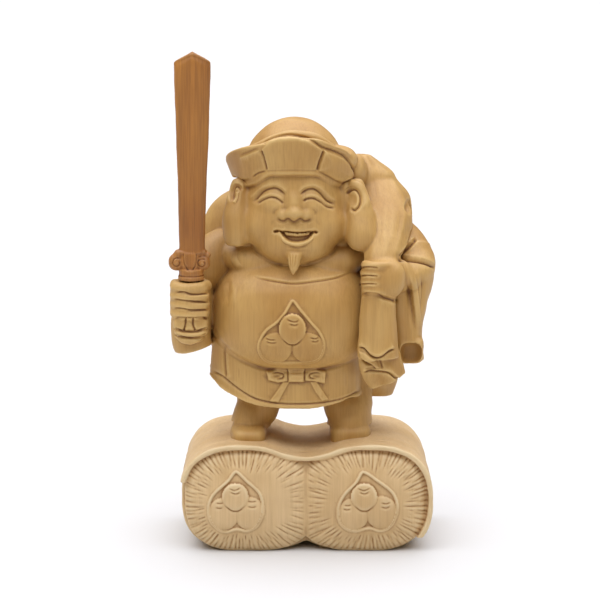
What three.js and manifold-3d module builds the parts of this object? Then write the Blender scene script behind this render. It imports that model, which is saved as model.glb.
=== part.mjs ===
// Carved wooden lucky-god figure with a sword and a treasure sack, standing on two rice bales.
// Millimetres, +Z up, the front towards -Y. The figure and its bales are one carved block,
// and the sword is a second piece whose handle drops into a socket in the right fist.
import * as THREE from 'three';
import { mergeVertices } from 'three/addons/utils/BufferGeometryUtils.js';
import Module from 'manifold-3d';

const wasm = await Module();
wasm.setup();

// Driving dimensions of the figure
const figureHeight = 100; // from the soles to the top of the hat
const figureShift = -1.85; // how far the figure's own frame stands left of the bales' middle

// Driving dimensions of the two bales
const baleWidth = 39.6;
const baleHeight = 34.2;
const baleLength = 43; // over the straw mat, without the domed ends
const baleFullness = 2.5; // 2 is an ellipse, more is squarer
const baleFlatSink = 1.9; // how much of the round section the flat underside cuts away
const valleyDepth = 3.6; // the dip in the mat between the bales
const notchHeight = 3.2; // the hollow under the line where the bales meet
const matThickness = 0.8;
const matLip = 0.8; // how far the mat stands past the rim of the straw
const matHemLeft = 21; // the height at which the mat ends on the left side
const matHemRight = 5;
const cleftDepth = 4; // how far back the block lies between the two straw ends
const strawDome = 2.4; // how far the bale ends bulge
const strawRidge = 0.45;
const strawRidges = 16; // ridges round one front end
const rearRidges = 6; // and round a plainer rear end

// Driving dimensions of the sword
const bladeLength = 61;
const bladeWidth = 9.2;
const bladeThickness = 3.4;
const bladeWaist = 7.8; // the width just above the guard
const tipWidth = 11.2;
const tipHeight = 3.3;
const tipFlare = 7.5; // the length over which the tip widens
const guardWidth = 13.4;
const guardHeight = 5.6;
const guardThickness = 5.2;
const collarRadius = 3.9;
const collarHeight = 3.0;
const handleRadius = 2.2;
const handleLength = 9.5;
const socketGap = 0.3; // the clearance round the handle in the fist
const fistTop = 51.3; // the height of the fist, in the figure's own units
const gripX = -33.3;
const gripY = -18.6;
const bladeShift = 0.9; // how far the blade stands right of the handle
const guardShift = -0.5; // and how far the guard's middle stands left of it

// Driving dimensions of the jewel emblems, a half-width and a half-height each
const bellyEmblem = {
  halfWidth: 10.4, halfHeight: 10.6, x: -2.1, z: 35.2, rim: 0.9, field: 0.3, depth: 1.5, isDomed: true,
};
const baleEmblem = {
  halfWidth: 8.9, halfHeight: 10, x: -1.1, z: -1, rim: 1, field: 0.45, depth: 1.2, isDomed: false,
};

// The figure's own frame: hundredths of its height, with z = 0 at the soles
const unit = figureHeight / 100;
const standZ = baleHeight;
const inFigure = (x, y, z) => new THREE.Vector3(x * unit + figureShift, y * unit, standZ + z * unit);
const fullTurn = Math.PI * 2;

// A closed three.js geometry as a solid that can be joined and cut.
function toSolid(geometry) {
  const bare = geometry.clone();
  bare.deleteAttribute('normal');
  bare.deleteAttribute('uv');
  const merged = mergeVertices(bare, 1e-4);
  return new wasm.Manifold(new wasm.Mesh({
    numProp: 3,
    vertProperties: new Float32Array(merged.attributes.position.array),
    triVerts: new Uint32Array(merged.index.array),
  }));
}

function toGeometry(solid) {
  const mesh = solid.getMesh();
  const geometry = new THREE.BufferGeometry();
  geometry.setAttribute('position', new THREE.BufferAttribute(mesh.vertProperties, 3));
  geometry.setIndex(new THREE.BufferAttribute(mesh.triVerts, 1));
  geometry.computeVertexNormals();
  return geometry;
}

function joined(geometries) {
  return wasm.Manifold.union(geometries.map(toSolid));
}

// Moves every vertex of a geometry to the place that a function gives for it.
function reshaped(geometry, place) {
  const position = geometry.attributes.position;
  const from = new THREE.Vector3();
  for (let i = 0; i < position.count; i += 1) {
    from.fromBufferAttribute(position, i);
    const to = place(from);
    position.setXYZ(i, to.x, to.y, to.z);
  }
  return geometry;
}

// A smooth value at share t along a list of stations.
function smoothAlong(values, t) {
  const points = values.map((v) => new THREE.Vector3(v, 0, 0));
  const line = new THREE.CatmullRomCurve3(points, false, 'catmullrom', 0.5);
  return line.getPoint(Math.min(1, Math.max(0, t))).x;
}

// An ellipsoid in the figure's frame. A fullness above 2 makes it squarer.
function ball(x, y, z, rx, ry, rz, { sides = 12, rings = 8, fullness = 2 } = {}) {
  const geometry = new THREE.SphereGeometry(1, sides, rings);
  geometry.rotateX(Math.PI / 2);
  reshaped(geometry, (v) => {
    const sum = Math.abs(v.x) ** fullness + Math.abs(v.y) ** fullness + Math.abs(v.z) ** fullness;
    return v.multiplyScalar(sum ** (-1 / fullness));
  });
  geometry.scale(rx * unit, ry * unit, rz * unit);
  const centre = inFigure(x, y, z);
  return geometry.translate(centre.x, centre.y, centre.z);
}

// A form swept through stations [x, y, z, half-width, half-depth] of the figure's frame, with round
// or flat ends. across is the direction of the half-widths, and relief(angle, share) pushes out.
function limb(stations, {
  sides = 12, rings = 9, blunt = 2.6, flat = false, across = [1, 0, 0], relief = () => 0,
} = {}) {
  const path = new THREE.CatmullRomCurve3(stations.map(([x, y, z]) => inFigure(x, y, z)));
  const sideways = new THREE.Vector3(...across);
  return reshaped(new THREE.SphereGeometry(1, sides, rings), (v) => {
    const turn = 1 - Math.acos(Math.min(1, Math.max(-1, v.y))) / Math.PI;
    const isPole = turn < 1e-4 || turn > 1 - 1e-4;
    const share = flat ? Math.min(1, Math.max(0, (turn * rings - 1) / (rings - 2))) : turn;
    const roundness = flat ? 1 : Math.max(0, 1 - Math.abs(2 * share - 1) ** blunt) ** (1 / blunt);
    const swell = isPole ? 0 : roundness;
    const angle = Math.atan2(v.z, v.x);
    const tangent = path.getTangent(share);
    const normal = sideways.clone().addScaledVector(tangent, -sideways.dot(tangent)).normalize();
    const binormal = normal.clone().cross(tangent);
    const grow = relief(angle, share);
    const wide = (smoothAlong(stations.map((station) => station[3]), share) + grow) * swell;
    const deep = (smoothAlong(stations.map((station) => station[4]), share) + grow) * swell;
    return path.getPoint(share)
      .addScaledVector(normal, wide * unit * Math.cos(angle))
      .addScaledVector(binormal, deep * unit * Math.sin(angle));
  });
}

// A solid between a lower and an upper rim. surface(angle, share) gives a point of the wall in the
// figure's frame, where angle 0 is to the right and a quarter turn is the front.
function drum(surface, { sides = 32, steps = 4 } = {}) {
  const middle = (share) => {
    const sum = new THREE.Vector3();
    for (let i = 0; i < sides; i += 1) {
      sum.add(new THREE.Vector3(...surface((fullTurn * i) / sides, share)));
    }
    return sum.divideScalar(sides);
  };
  const middles = Array.from({ length: steps + 1 }, (_, i) => middle(i / steps));
  return reshaped(new THREE.CylinderGeometry(1, 1, 1, sides, steps), (v) => {
    const share = v.y + 0.5;
    const centre = middles[Math.round(share * steps)];
    const out = Math.hypot(v.x, v.z);
    const edge = new THREE.Vector3(...surface(Math.atan2(v.z, v.x), share));
    const spot = out < 0.5 ? centre : edge;
    return inFigure(spot.x, spot.y, spot.z);
  });
}

// Half of the jewel emblem's outline, from the point at the top to the notch at the bottom.
const emblemHalf = new THREE.CatmullRomCurve3([
  [0, 1], [0.2, 0.74], [0.62, 0.3], [0.95, -0.14], [0.98, -0.58], [0.72, -0.93], [0.36, -0.97], [0, -0.86],
].map(([x, z]) => new THREE.Vector3(x, 0, z)));

function emblemPoint(share) {
  const half = share < 0.5 ? share * 2 : 2 - share * 2;
  const point = emblemHalf.getPoint(half);
  return { s: share < 0.5 ? point.x : -point.x, t: point.z };
}

// The emblem: a shallow dish with a raised rim, and three jewels in it, laid on a surface that
// place(s, t, height) describes in shares of the emblem's half-width and half-height.
function emblem(place, { rim, field, depth, isDomed }) {
  const centre = -0.2;
  const inner = isDomed ? [[0.45, field]] : [];
  const profile = [[0, -depth], [1.05, -depth], [1.05, 0], [0.97, rim], [0.87, field], ...inner, [0, field]];
  const dish = new THREE.LatheGeometry(profile.map(([r, h]) => new THREE.Vector2(r, h)), 16);
  reshaped(dish, (v) => {
    const r = Math.hypot(v.x, v.z);
    const edge = emblemPoint((1.25 - Math.atan2(v.x, v.z) / fullTurn) % 1);
    return place(edge.s * r, centre + (edge.t - centre) * r, v.y);
  });
  const jewels = [[-0.42, -0.5, 0.36, 0.8], [0.42, -0.5, 0.36, 0.8], [0, -0.03, 0.4, 1]];
  const beads = jewels.map(([s, t, radius, share]) => {
    const bead = new THREE.SphereGeometry(1, 6, 4);
    const height = rim * 1.5 * share;
    return reshaped(bead, (v) => place(s + v.x * radius, t + v.z * radius, field - v.y * height));
  });
  return [dish, ...beads];
}

// The outline of the pair of bales: the height of its top or its underside at x.
const baleMiddle = baleWidth / 2;
const sectionRise = (baleHeight + baleFlatSink) / 2;
const sectionZ = baleHeight - sectionRise;

function baleArch(x, inset) {
  const across = Math.min(1, Math.abs(Math.abs(x) - baleMiddle) / (baleWidth / 2 - inset));
  return (sectionRise - inset) * (1 - across ** baleFullness) ** (1 / baleFullness);
}

function baleTop(x, inset) {
  const valley = baleHeight - valleyDepth - inset + (x * x) / (baleWidth * 1.15);
  const arch = sectionZ + baleArch(x, inset);
  return Math.abs(x) < baleMiddle * 0.75 ? Math.max(arch, valley) : arch;
}

function baleUnderside(x, inset) {
  const notch = notchHeight + inset - (x * x) / (baleWidth * 0.45);
  const arch = sectionZ - baleArch(x, inset);
  const clamped = Math.max(0, arch);
  return Math.abs(x) < baleMiddle * 0.75 ? Math.max(0, Math.min(clamped, notch)) : clamped;
}

// The pair of bales as a block between two values of y.
function baleBlock(inset, nearY, farY) {
  const reach = baleWidth - inset;
  const half = 20;
  const xs = Array.from({ length: half + 1 }, (_, i) => -reach * Math.cos((Math.PI * i) / half));
  const outline = new THREE.Shape();
  outline.moveTo(xs[0], baleTop(xs[0], inset));
  xs.slice(1).forEach((x) => outline.lineTo(x, baleTop(x, inset)));
  xs.slice(1, -1).reverse().forEach((x) => outline.lineTo(x, baleUnderside(x, inset)));
  const block = new THREE.ExtrudeGeometry(outline, { depth: farY - nearY, bevelEnabled: false });
  block.rotateX(Math.PI / 2);
  return block.translate(0, farY, 0);
}

// One domed end of a bale, with straw ridges that run out from its middle.
function strawEnd(middleX, front, ridges) {
  const segments = ridges * 2;
  const inset = matThickness + 0.2;
  const profile = [[0, -cleftDepth - 1], [1, -cleftDepth - 1], [1, 0], [0.46, 0.85], [0, 1]];
  const lathe = new THREE.LatheGeometry(profile.map(([r, h]) => new THREE.Vector2(r, h)), segments);
  return reshaped(lathe, (v) => {
    const r = Math.hypot(v.x, v.z);
    const angle = Math.atan2(v.z, v.x);
    const dx = Math.cos(angle);
    const dz = Math.sin(angle);
    const rim = (Math.abs(dx / (baleWidth / 2 - inset)) ** baleFullness
      + Math.abs(dz / (sectionRise - inset)) ** baleFullness) ** (-1 / baleFullness);
    const toFloor = dz < 0 ? (sectionZ - 0.3) / -dz : Infinity;
    const reach = Math.min(rim, toFloor) * r;
    const isCrest = Math.round((Math.atan2(v.x, v.z) / fullTurn + 1) * segments) % 2 === 0;
    const onStraw = v.y >= 0 && r > 0.7;
    const out = v.y < 0 ? v.y : v.y * strawDome + (onStraw && isCrest ? strawRidge : 0);
    return new THREE.Vector3(
      middleX - reach * dx * front,
      -front * (baleLength / 2 - matLip + out),
      sectionZ + reach * dz,
    );
  });
}

// Where a bale's end stands in y at a distance from its middle, for the emblem on it.
function strawFaceY(s, t) {
  const share = Math.min(1, Math.hypot(s / (baleWidth / 2), t / sectionRise));
  return -(baleLength / 2 - matLip + strawDome * (1 - share ** 2.2));
}

function bales() {
  const half = baleLength / 2;
  const straw = half - matLip - cleftDepth;
  const wholeDrape = new THREE.BoxGeometry(baleWidth * 3, baleLength * 2, baleHeight * 2);
  wholeDrape.translate(0, 0, matHemLeft + baleHeight);
  const rightDrape = new THREE.BoxGeometry(baleWidth * 2, baleLength * 2, baleHeight * 2);
  rightDrape.translate(baleWidth * 1.1, 0, matHemRight + baleHeight);
  const drape = [wholeDrape, rightDrape];
  const recesses = [baleBlock(matThickness, -half - 1, -straw), baleBlock(matThickness, straw, half + 1)];
  const mat = toSolid(baleBlock(0, -half, half)).intersect(joined(drape)).subtract(joined(recesses));
  const pieces = [baleBlock(matThickness, -straw - 0.2, straw + 0.2)];
  for (const side of [-1, 1]) {
    const x = side * baleMiddle;
    pieces.push(strawEnd(x, 1, strawRidges), strawEnd(x, -1, rearRidges));
    const place = (s, t, height) => {
      const ds = s * baleEmblem.halfWidth + baleEmblem.x;
      const dt = t * baleEmblem.halfHeight + baleEmblem.z;
      return new THREE.Vector3(x + ds, strawFaceY(ds, dt) - height, sectionZ + dt);
    };
    pieces.push(...emblem(place, baleEmblem));
  }
  return joined(pieces).add(mat);
}

// Legs and shoes, standing on the bales.
function legs() {
  const pieces = [];
  for (const { x, halfWidth } of [{ x: -12.6, halfWidth: 6.4 }, { x: 15, halfWidth: 7.3 }]) {
    const outer = Math.sign(x);
    const trouser = [
      [x, 0, 26, 8, 8.5], [x, -0.5, 10, halfWidth, 7.5], [x + outer * 1.4, -1, -3, halfWidth + 1.2, 8],
    ];
    const shoe = [
      [x + 2.4 * outer, 6, 0, 5.6, 4], [x + 2.2 * outer, -4, 0, 6.6, 4.4],
      [x + 2 * outer, -13.4, -0.6, 6, 3.6],
    ];
    pieces.push(
      limb(trouser, { sides: 10, rings: 5, flat: true }),
      limb(shoe, { sides: 10, rings: 6, blunt: 4 }),
    );
  }
  return pieces;
}

// The jacket's skirt, with a raised hem that climbs at the sides, and the sash's bow.
function skirt() {
  const top = 32;
  const hem = (x) => 10.4 + 9.2 * (Math.abs(x + 1.6) / 27.2) ** 2.5;
  const wall = (angle, share) => {
    const level = [0, 0.09, 0.1, 1][Math.round(share * 3)];
    const rim = level < 0.095 ? 0.6 : 0;
    const wide = (23.7 + rim) * (1 - 0.03 * level);
    const deep = (15.6 + rim) * (1 - 0.05 * level);
    const x = -4.6 + wide * Math.cos(angle);
    return [x, -0.8 - deep * Math.sin(angle), hem(x) + (top - hem(x)) * level];
  };
  const bow = { x: -1.3, y: -16.6, z: 21 };
  const pieces = [
    drum(wall, { sides: 27, steps: 3 }),
    ball(bow.x, bow.y, bow.z, 2.2, 1.4, 1.9, { sides: 8, rings: 4, fullness: 4 }),
  ];
  for (const side of [-1, 1]) {
    const across = (dx) => bow.x + side * dx;
    pieces.push(
      limb([[across(1.2), bow.y, bow.z, 0.9, 0.9], [across(4.8), bow.y, bow.z, 1.8, 1.2],
        [across(8.8), bow.y + 0.8, bow.z, 2, 1.2]], { sides: 4, rings: 4, across: [0, 0, 1], flat: true }),
      limb([[across(3), bow.y, bow.z - 1.4, 1, 1], [across(5.2), bow.y, bow.z - 4.6, 1.3, 1],
        [across(8), bow.y + 0.3, bow.z - 8, 1.5, 1]], { sides: 4, rings: 4, flat: true }),
    );
  }
  return pieces;
}

// The big belly, the chest, and the collar under the chin.
const belly = { x: -2.6, y: -4.2, z: 40, rx: 25.2, ry: 18.4, rz: 17.2, fullness: 2.25 };

function bellyFrontY(x, z) {
  const across = Math.abs((x - belly.x) / belly.rx) ** belly.fullness;
  const upDown = Math.abs((z - belly.z) / belly.rz) ** belly.fullness;
  return belly.y - belly.ry * Math.max(0.01, 1 - across - upDown) ** (1 / belly.fullness);
}

function torso() {
  const { x, y, z, rx, ry, rz, fullness } = belly;
  const place = (s, t, height) => {
    const px = bellyEmblem.x + s * bellyEmblem.halfWidth;
    const pz = bellyEmblem.z + t * bellyEmblem.halfHeight;
    return inFigure(px, bellyFrontY(px, pz) - height, pz);
  };
  const chest = [[-2, 1, 24, 18, 13], [-2, 1, 40, 22, 15], [-2, -1.6, 56, 21, 15.4], [-2, -3, 65, 14, 13]];
  const collar = [
    [-22, -9, 58.6, 2.6, 1.6], [-15.5, -15.4, 54.8, 2.6, 1.7], [-2, -19.3, 52, 2.4, 1.6],
    [12, -16.4, 54.6, 2.6, 1.7], [19.5, -9, 58, 2.6, 1.6],
  ];
  return [
    ball(x, y, z, rx, ry, rz, { sides: 22, rings: 12, fullness }),
    limb(chest, { sides: 12, rings: 6, flat: true }),
    limb(collar, { sides: 6, rings: 10, across: [0, 0, 1], flat: true }),
    ...emblem(place, bellyEmblem),
  ];
}

// The head: full cheeks, small nose, closed smiling eyes, an open laughing mouth and a tuft of beard.
const faceX = -1.7;
const mouthX = -1.4;

function faceForms() {
  const pieces = [
    ball(faceX, -5.5, 72, 16, 14.4, 16.6, { sides: 18, rings: 10, fullness: 2.15 }),
    ball(faceX, -12.6, 62.6, 9.6, 6.8, 6.6, { sides: 10, rings: 6 }),
    ball(faceX, -19.4, 73, 2.6, 2.6, 2, { sides: 8, rings: 5 }),
    limb([[faceX, -17.4, 61.4, 2.4, 1.6], [faceX, -20, 58, 1.9, 1.6], [faceX - 0.2, -21.2, 53, 0.4, 0.5]],
      { sides: 6, rings: 5 }),
  ];
  const ridge = { sides: 4, rings: 6, across: [0, 0, 1], flat: true };
  for (const side of [-1, 1]) {
    const across = (dx) => faceX + side * dx;
    const brow = [
      [across(2.4), -18.6, 78.6, 0.5, 0.7], [across(5), -18.9, 80.6, 0.7, 1],
      [across(8.6), -17.6, 79.6, 0.7, 1], [across(12.4), -14.6, 76.2, 0.4, 0.7],
    ];
    const closedEye = [
      [across(2.6), -18.4, 75.2, 0.4, 0.6], [across(5.8), -18.7, 77.2, 0.5, 0.9],
      [across(10.8), -15.8, 75, 0.4, 0.6],
    ];
    pieces.push(
      ball(across(7.8), -11.6, 68.2, 8, 7.4, 7.4, { sides: 12, rings: 6 }),
      ball(across(2.9), -18.8, 72.6, 1.6, 1.8, 1.5, { sides: 6, rings: 4 }),
      limb(brow, ridge),
      limb(closedEye, ridge),
    );
  }
  return pieces;
}

function mouthCut() {
  const smile = [
    [-6, -19.2, 67.2, 0.5, 1.4], [-3, -20.2, 65.6, 1.5, 2], [0, -20.6, 65.2, 1.9, 2.2],
    [3, -20.2, 65.6, 1.5, 2], [6, -19.2, 67.2, 0.5, 1.4],
  ];
  const placed = smile.map(([x, ...rest]) => [x + mouthX, ...rest]);
  return limb(placed, { sides: 8, rings: 8, across: [0, 0, 1] });
}

function mouthForms() {
  const lowerLip = [
    [-5.4, -18.4, 66.6, 0.5, 0.7], [-3, -19.2, 64.1, 0.7, 0.9], [0, -19.7, 63.1, 0.8, 1],
    [3, -19.2, 64.1, 0.7, 0.9], [5.4, -18.4, 66.6, 0.5, 0.7],
  ];
  const placed = lowerLip.map(([x, ...rest]) => [x + mouthX, ...rest]);
  return [
    limb(placed, { sides: 5, rings: 8, across: [0, 0, 1], blunt: 6 }),
    ball(mouthX, -17.6, 67, 3.6, 1.7, 0.9, { sides: 8, rings: 4, fullness: 3 }),
  ];
}

// Ears with very long, full lobes.
function ears() {
  return [{ x: -18.9, half: 4.4 }, { x: 17.6, half: 5 }].map(({ x, half }) => {
    const out = Math.sign(x);
    return limb([[x - out * 0.4, -8, 84, 2.9, 3], [x, -9, 77, 3, 3.4], [x + out * 0.7, -11, 69.5, half, 4.4],
      [x + out * 0.7, -12, 61, half, 4.6]], { sides: 9, rings: 8, blunt: 3 });
  });
}

function earHollows() {
  return [-19.2, 17.6].map((x) => ball(x, -12.2, 78, 1.6, 1.5, 3.6, { sides: 6, rings: 4 }));
}

// The hat: a soft dome behind a folded crown of three panels, over a narrow headband.
function hat() {
  const centre = { x: -2.1, y: -2.5 };
  const sides = 28;
  const arched = (angle, middle, drop) => {
    const front = Math.max(0, Math.sin(angle));
    return middle - drop * (1 - front ** 0.8);
  };
  const crown = (angle, share) => {
    const level = [0, 0.5, 1, 1][Math.round(share * 3)];
    const inward = share > 0.9 ? 2.2 : 0;
    const fromFront = ((angle - fullTurn / 4 + fullTurn * 1.5) % fullTurn) - fullTurn / 2;
    const step = Math.abs(fromFront) / (fullTurn / sides);
    const isMiddle = step < 2.5;
    const spread = isMiddle ? step * 0.96 : 2.14 + ((step - 3) * (sides / 2 - 2.14)) / (sides / 2 - 3);
    const turned = fullTurn / 4 + Math.sign(fromFront) * spread * (fullTurn / sides);
    const proud = isMiddle ? 0.5 : -0.4;
    const wide = 16.4 + 3.8 * level - inward + proud;
    const deep = 17.4 + 1.6 * level - inward + proud;
    const low = arched(turned, 85.4, 6);
    const high = arched(turned, 95.4, 9.5) - (share > 0.9 ? 0.8 : 0) + (isMiddle ? 0.3 : -0.4);
    const height = low + (high - low) * level;
    return [centre.x + wide * Math.cos(turned), centre.y - deep * Math.sin(turned), height];
  };
  const band = (angle, share) => {
    const low = arched(angle, 83, 6);
    return [centre.x + 17.2 * Math.cos(angle), centre.y - 17.8 * Math.sin(angle), low + 2.6 * share];
  };
  return [
    drum(crown, { sides, steps: 3 }),
    drum(band, { sides: 22, steps: 1 }),
    ball(-1.2, 0.5, 82, 17.4, 17, 17.9, { sides: 16, rings: 9 }),
  ];
}

// The treasure sack on the back, its gathered neck over the left shoulder, and its ruffled mouth.
function sack() {
  const levels = [
    [9.6, 25, 5, 5], [14, 20, 11.5, 8], [21, 8, 24.5, 11.4], [31, 3, 30.5, 13], [45, 1.2, 32.6, 13.6],
    [60, 1.2, 33.6, 13.6], [68, 2.4, 32.6, 13.2], [74, 4.3, 29.6, 12.4], [79, 9, 23.4, 11.6],
    [83.4, 15.6, 14.6, 8.4], [86, 18.6, 7, 3.6],
  ];
  const body = (angle, share) => {
    const [z, x, wide, deep] = levels[0].map((_, i) => smoothAlong(levels.map((level) => level[i]), share));
    const pleat = share > 0.6 ? 1.8 * (share - 0.6) * Math.cos(angle * 10) : 0;
    return [x + (wide + pleat) * Math.cos(angle), 9.6 - (deep + pleat) * Math.sin(angle), z];
  };
  const neck = [
    [19.4, 9, 80, 9, 4], [22.4, 5, 75.6, 10.6, 7], [25.2, -1, 69.6, 9.4, 7.6], [26, -8.4, 63.8, 7.2, 6.6],
    [25, -16, 57.6, 5.4, 4.2], [24.1, -20, 51, 4.7, 3.2], [23.8, -20.6, 42, 5.6, 3.8],
    [24, -20.4, 27.4, 6.4, 3.8],
  ];
  const mouth = [[24, -17.6, 32, 5.6, 4], [24.8, -17.2, 25.4, 6.8, 4.6], [26.4, -16.4, 18.8, 5.2, 4]];
  const gather = (angle) => 0.5 * Math.cos(angle * 9);
  const ruffle = (angle, share) => (0.4 + share) * Math.cos(angle * 5 + 0.6);
  return [
    drum(body, { sides: 20, steps: 8 }),
    limb(neck, { sides: 18, rings: 10, flat: true, relief: gather }),
    limb(mouth, { sides: 15, rings: 5, flat: true, relief: ruffle }),
  ];
}

// The right arm's sleeve with its deep cuff, and the left arm's sleeve hanging from the wrist.
function sleeves() {
  const rightArm = [
    [-19, 4, 60, 8, 9], [-26, 0, 56, 7.6, 8.6], [-31.6, -5, 50, 6.6, 7.6], [-33, -9, 44, 6, 6.4],
  ];
  const rightCuff = [[-33.4, -6.6, 54, 5.2, 5.4], [-33.6, -8.6, 41, 5.5, 6], [-33.9, -9.8, 28.2, 6.5, 6]];
  const leftArm = [
    [25, 4, 68, 7.6, 8], [32.6, 1, 61.6, 7.6, 7.6], [36, -4, 55, 6.2, 7], [33.4, -11, 51.6, 5, 5.6],
    [28.4, -17.4, 52.6, 4.6, 4.8],
  ];
  const leftCuff = [
    [34.6, 0, 60, 6.6, 7.6], [36, -3.4, 51, 6.2, 8.6], [34.9, -7, 42.4, 5, 8], [33.2, -9, 33.8, 4.2, 6.6],
    [33.6, -9.4, 24.4, 4.5, 5.8],
  ];
  const folds = (angle) => 0.5 * Math.cos(angle * 6);
  return [
    limb(rightArm, { sides: 10, rings: 6 }),
    limb(rightCuff, { sides: 12, rings: 5, flat: true }),
    limb(leftArm, { sides: 10, rings: 7, across: [0.6, 0, 0.8] }),
    limb(leftCuff, { sides: 12, rings: 7, flat: true, relief: folds }),
  ];
}

function cuffHollow() {
  return ball(34.4, -14.4, 26, 2.6, 3, 3.4, { sides: 8, rings: 5, fullness: 3 });
}

// A hand closed round something upright, its fingers one above another across the front.
function closedHand({ x, y, low, high, halfWidth, halfDepth, reach }) {
  const fingers = 4;
  const knuckles = (angle, share) => {
    const isFinger = Math.sin(angle) > -0.1 && Math.cos(angle) < reach;
    return isFinger ? 0.7 * Math.abs(Math.sin(Math.PI * fingers * share)) - 0.5 : 0;
  };
  return limb(
    [[x, y, low, halfWidth, halfDepth], [x, y, high, halfWidth, halfDepth]],
    { sides: 9, rings: fingers * 3, blunt: 9, relief: knuckles },
  );
}

// The right hand round the sword, with its thumb, and the left hand round the sack's neck.
function hands() {
  const rightFist = { x: -33.7, y: -18, low: 39.7, high: 51.6, halfWidth: 6.2, halfDepth: 6.2, reach: 1.1 };
  const leftFist = { x: 24.2, y: -20.4, low: 47, high: 58.6, halfWidth: 6.4, halfDepth: 5.2, reach: 0.4 };
  const thumb = [
    [gripX + 4.6, -14.5, 47.6, 1.6, 1.7], [gripX + 4.8, -19.6, 50, 1.6, 1.7],
    [gripX + 2.2, -22.8, 50.9, 1.4, 1.5],
  ];
  return [
    closedHand(rightFist),
    limb(thumb, { sides: 7, rings: 5, across: [0, 0, 1] }),
    closedHand(leftFist),
  ];
}

// The pommel below the right fist, two scrolls over a band.
function pommel() {
  return [
    ball(gripX - 3.3, -18.6, 37.8, 2.6, 3, 2.3, { sides: 8, rings: 4, fullness: 3 }),
    ball(gripX + 1.9, -18.6, 37.8, 2.6, 3, 2.3, { sides: 8, rings: 4, fullness: 3 }),
    ball(gripX - 0.7, -16.8, 34.6, 4.6, 3.6, 2.4, { sides: 8, rings: 4 }),
  ];
}

const grip = inFigure(gripX, gripY, fistTop);
const guardZ = grip.z + socketGap + collarHeight;

// The socket that the sword's handle drops into, open at the top of the fist.
function socket() {
  const radius = handleRadius + socketGap;
  const depth = handleLength + socketGap;
  const mouth = 3 * unit;
  const hole = new THREE.CylinderGeometry(radius, radius, depth + mouth, 10);
  hole.rotateX(Math.PI / 2);
  return hole.translate(grip.x, grip.y, grip.z + (mouth - depth) / 2);
}

// Room round the collar, so that the sword stays clear of the fist, the cuff and the thumb.
function collarRoom() {
  const radius = collarRadius + socketGap;
  const room = new THREE.CylinderGeometry(radius, radius, collarHeight + guardHeight, 12);
  room.rotateX(Math.PI / 2);
  return room.translate(grip.x, grip.y, grip.z + (collarHeight + guardHeight) / 2);
}

function carving() {
  const forms = joined([
    ...legs(), ...skirt(), ...torso(), ...faceForms(), ...ears(),
    ...hat(), ...sack(), ...sleeves(), ...hands(), ...pommel(),
  ]);
  const hollows = joined([mouthCut(), ...earHollows(), cuffHollow(), socket(), collarRoom()]);
  return forms.add(bales()).subtract(hollows).add(joined(mouthForms()));
}

// The sword: a straight two-edged blade with a flared tip, a scrolled guard, a collar and the handle.
function blade() {
  const foot = guardZ + guardHeight;
  const shoulder = foot + bladeLength - tipHeight;
  const stations = [
    [foot - 1, bladeWaist], [foot + bladeLength * 0.45, bladeWidth], [shoulder - tipFlare, bladeWidth + 0.6],
    [shoulder, tipWidth],
  ];
  const bottom = stations[0][0];
  const sides = 4;
  const width = (z) => {
    const next = Math.max(1, stations.findIndex(([height]) => z <= height + 1e-6));
    const [z0, w0] = stations[next - 1];
    const [z1, w1] = stations[next];
    return w0 + ((w1 - w0) * (z - z0)) / (z1 - z0);
  };
  const heights = [bottom, ...stations.slice(1).map(([z]) => z)];
  const steps = heights.length - 1;
  const body = reshaped(new THREE.CylinderGeometry(1, 1, 1, sides, steps), (v) => {
    const z = heights[Math.round((v.y + 0.5) * steps)];
    const out = Math.hypot(v.x, v.z) < 0.5 ? 0 : 1;
    const isEdge = Math.abs(v.x) > Math.abs(v.z);
    return new THREE.Vector3(
      grip.x + bladeShift + (isEdge ? (out * Math.sign(v.x) * width(z)) / 2 : 0),
      grip.y - (isEdge ? 0 : (out * Math.sign(v.z) * bladeThickness) / 2),
      z,
    );
  });
  const point = reshaped(new THREE.ConeGeometry(1, 1, sides), (v) => {
    const out = Math.hypot(v.x, v.z) < 0.01 ? 0 : 1;
    const isEdge = Math.abs(v.x) > Math.abs(v.z);
    return new THREE.Vector3(
      grip.x + bladeShift + (isEdge ? (out * Math.sign(v.x) * tipWidth) / 2 : 0),
      grip.y - (isEdge ? 0 : (out * Math.sign(v.z) * bladeThickness) / 2),
      shoulder + (v.y + 0.5) * tipHeight,
    );
  });
  return [body, point];
}

function scroll(side) {
  const roll = new THREE.SphereGeometry(1, 9, 5);
  roll.scale(guardWidth * 0.24, guardThickness / 2, guardHeight * 0.46);
  return roll.translate(grip.x + guardShift + side * guardWidth * 0.27, grip.y, guardZ + guardHeight * 0.48);
}

function guardAndHandle() {
  const plate = new THREE.BoxGeometry(guardWidth * 0.44, guardThickness * 0.86, guardHeight);
  plate.translate(grip.x + guardShift, grip.y, guardZ + guardHeight / 2);
  const shoulders = new THREE.BoxGeometry(guardWidth * 0.66, guardThickness * 0.6, guardHeight * 0.3);
  shoulders.translate(grip.x + bladeShift / 2, grip.y, guardZ + guardHeight * 0.9);
  const bands = [[0, -1], [0.86, -1], [1, -0.72], [0.84, -0.5], [1, -0.28], [0.9, 0.13], [0, 0.13]];
  const collarProfile = bands.map(([r, z]) => new THREE.Vector2(r * collarRadius, z * collarHeight));
  const collar = new THREE.LatheGeometry(collarProfile, 12);
  collar.rotateX(Math.PI / 2);
  collar.translate(grip.x, grip.y, guardZ);
  const handle = new THREE.CylinderGeometry(handleRadius, handleRadius, handleLength + 1, 10);
  handle.rotateX(Math.PI / 2);
  handle.translate(grip.x, grip.y, guardZ - collarHeight + 1 - (handleLength + 1) / 2);
  return [plate, shoulders, scroll(-1), scroll(1), collar, handle];
}

function sword() {
  return joined([...blade(), ...guardAndHandle()]);
}

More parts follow.
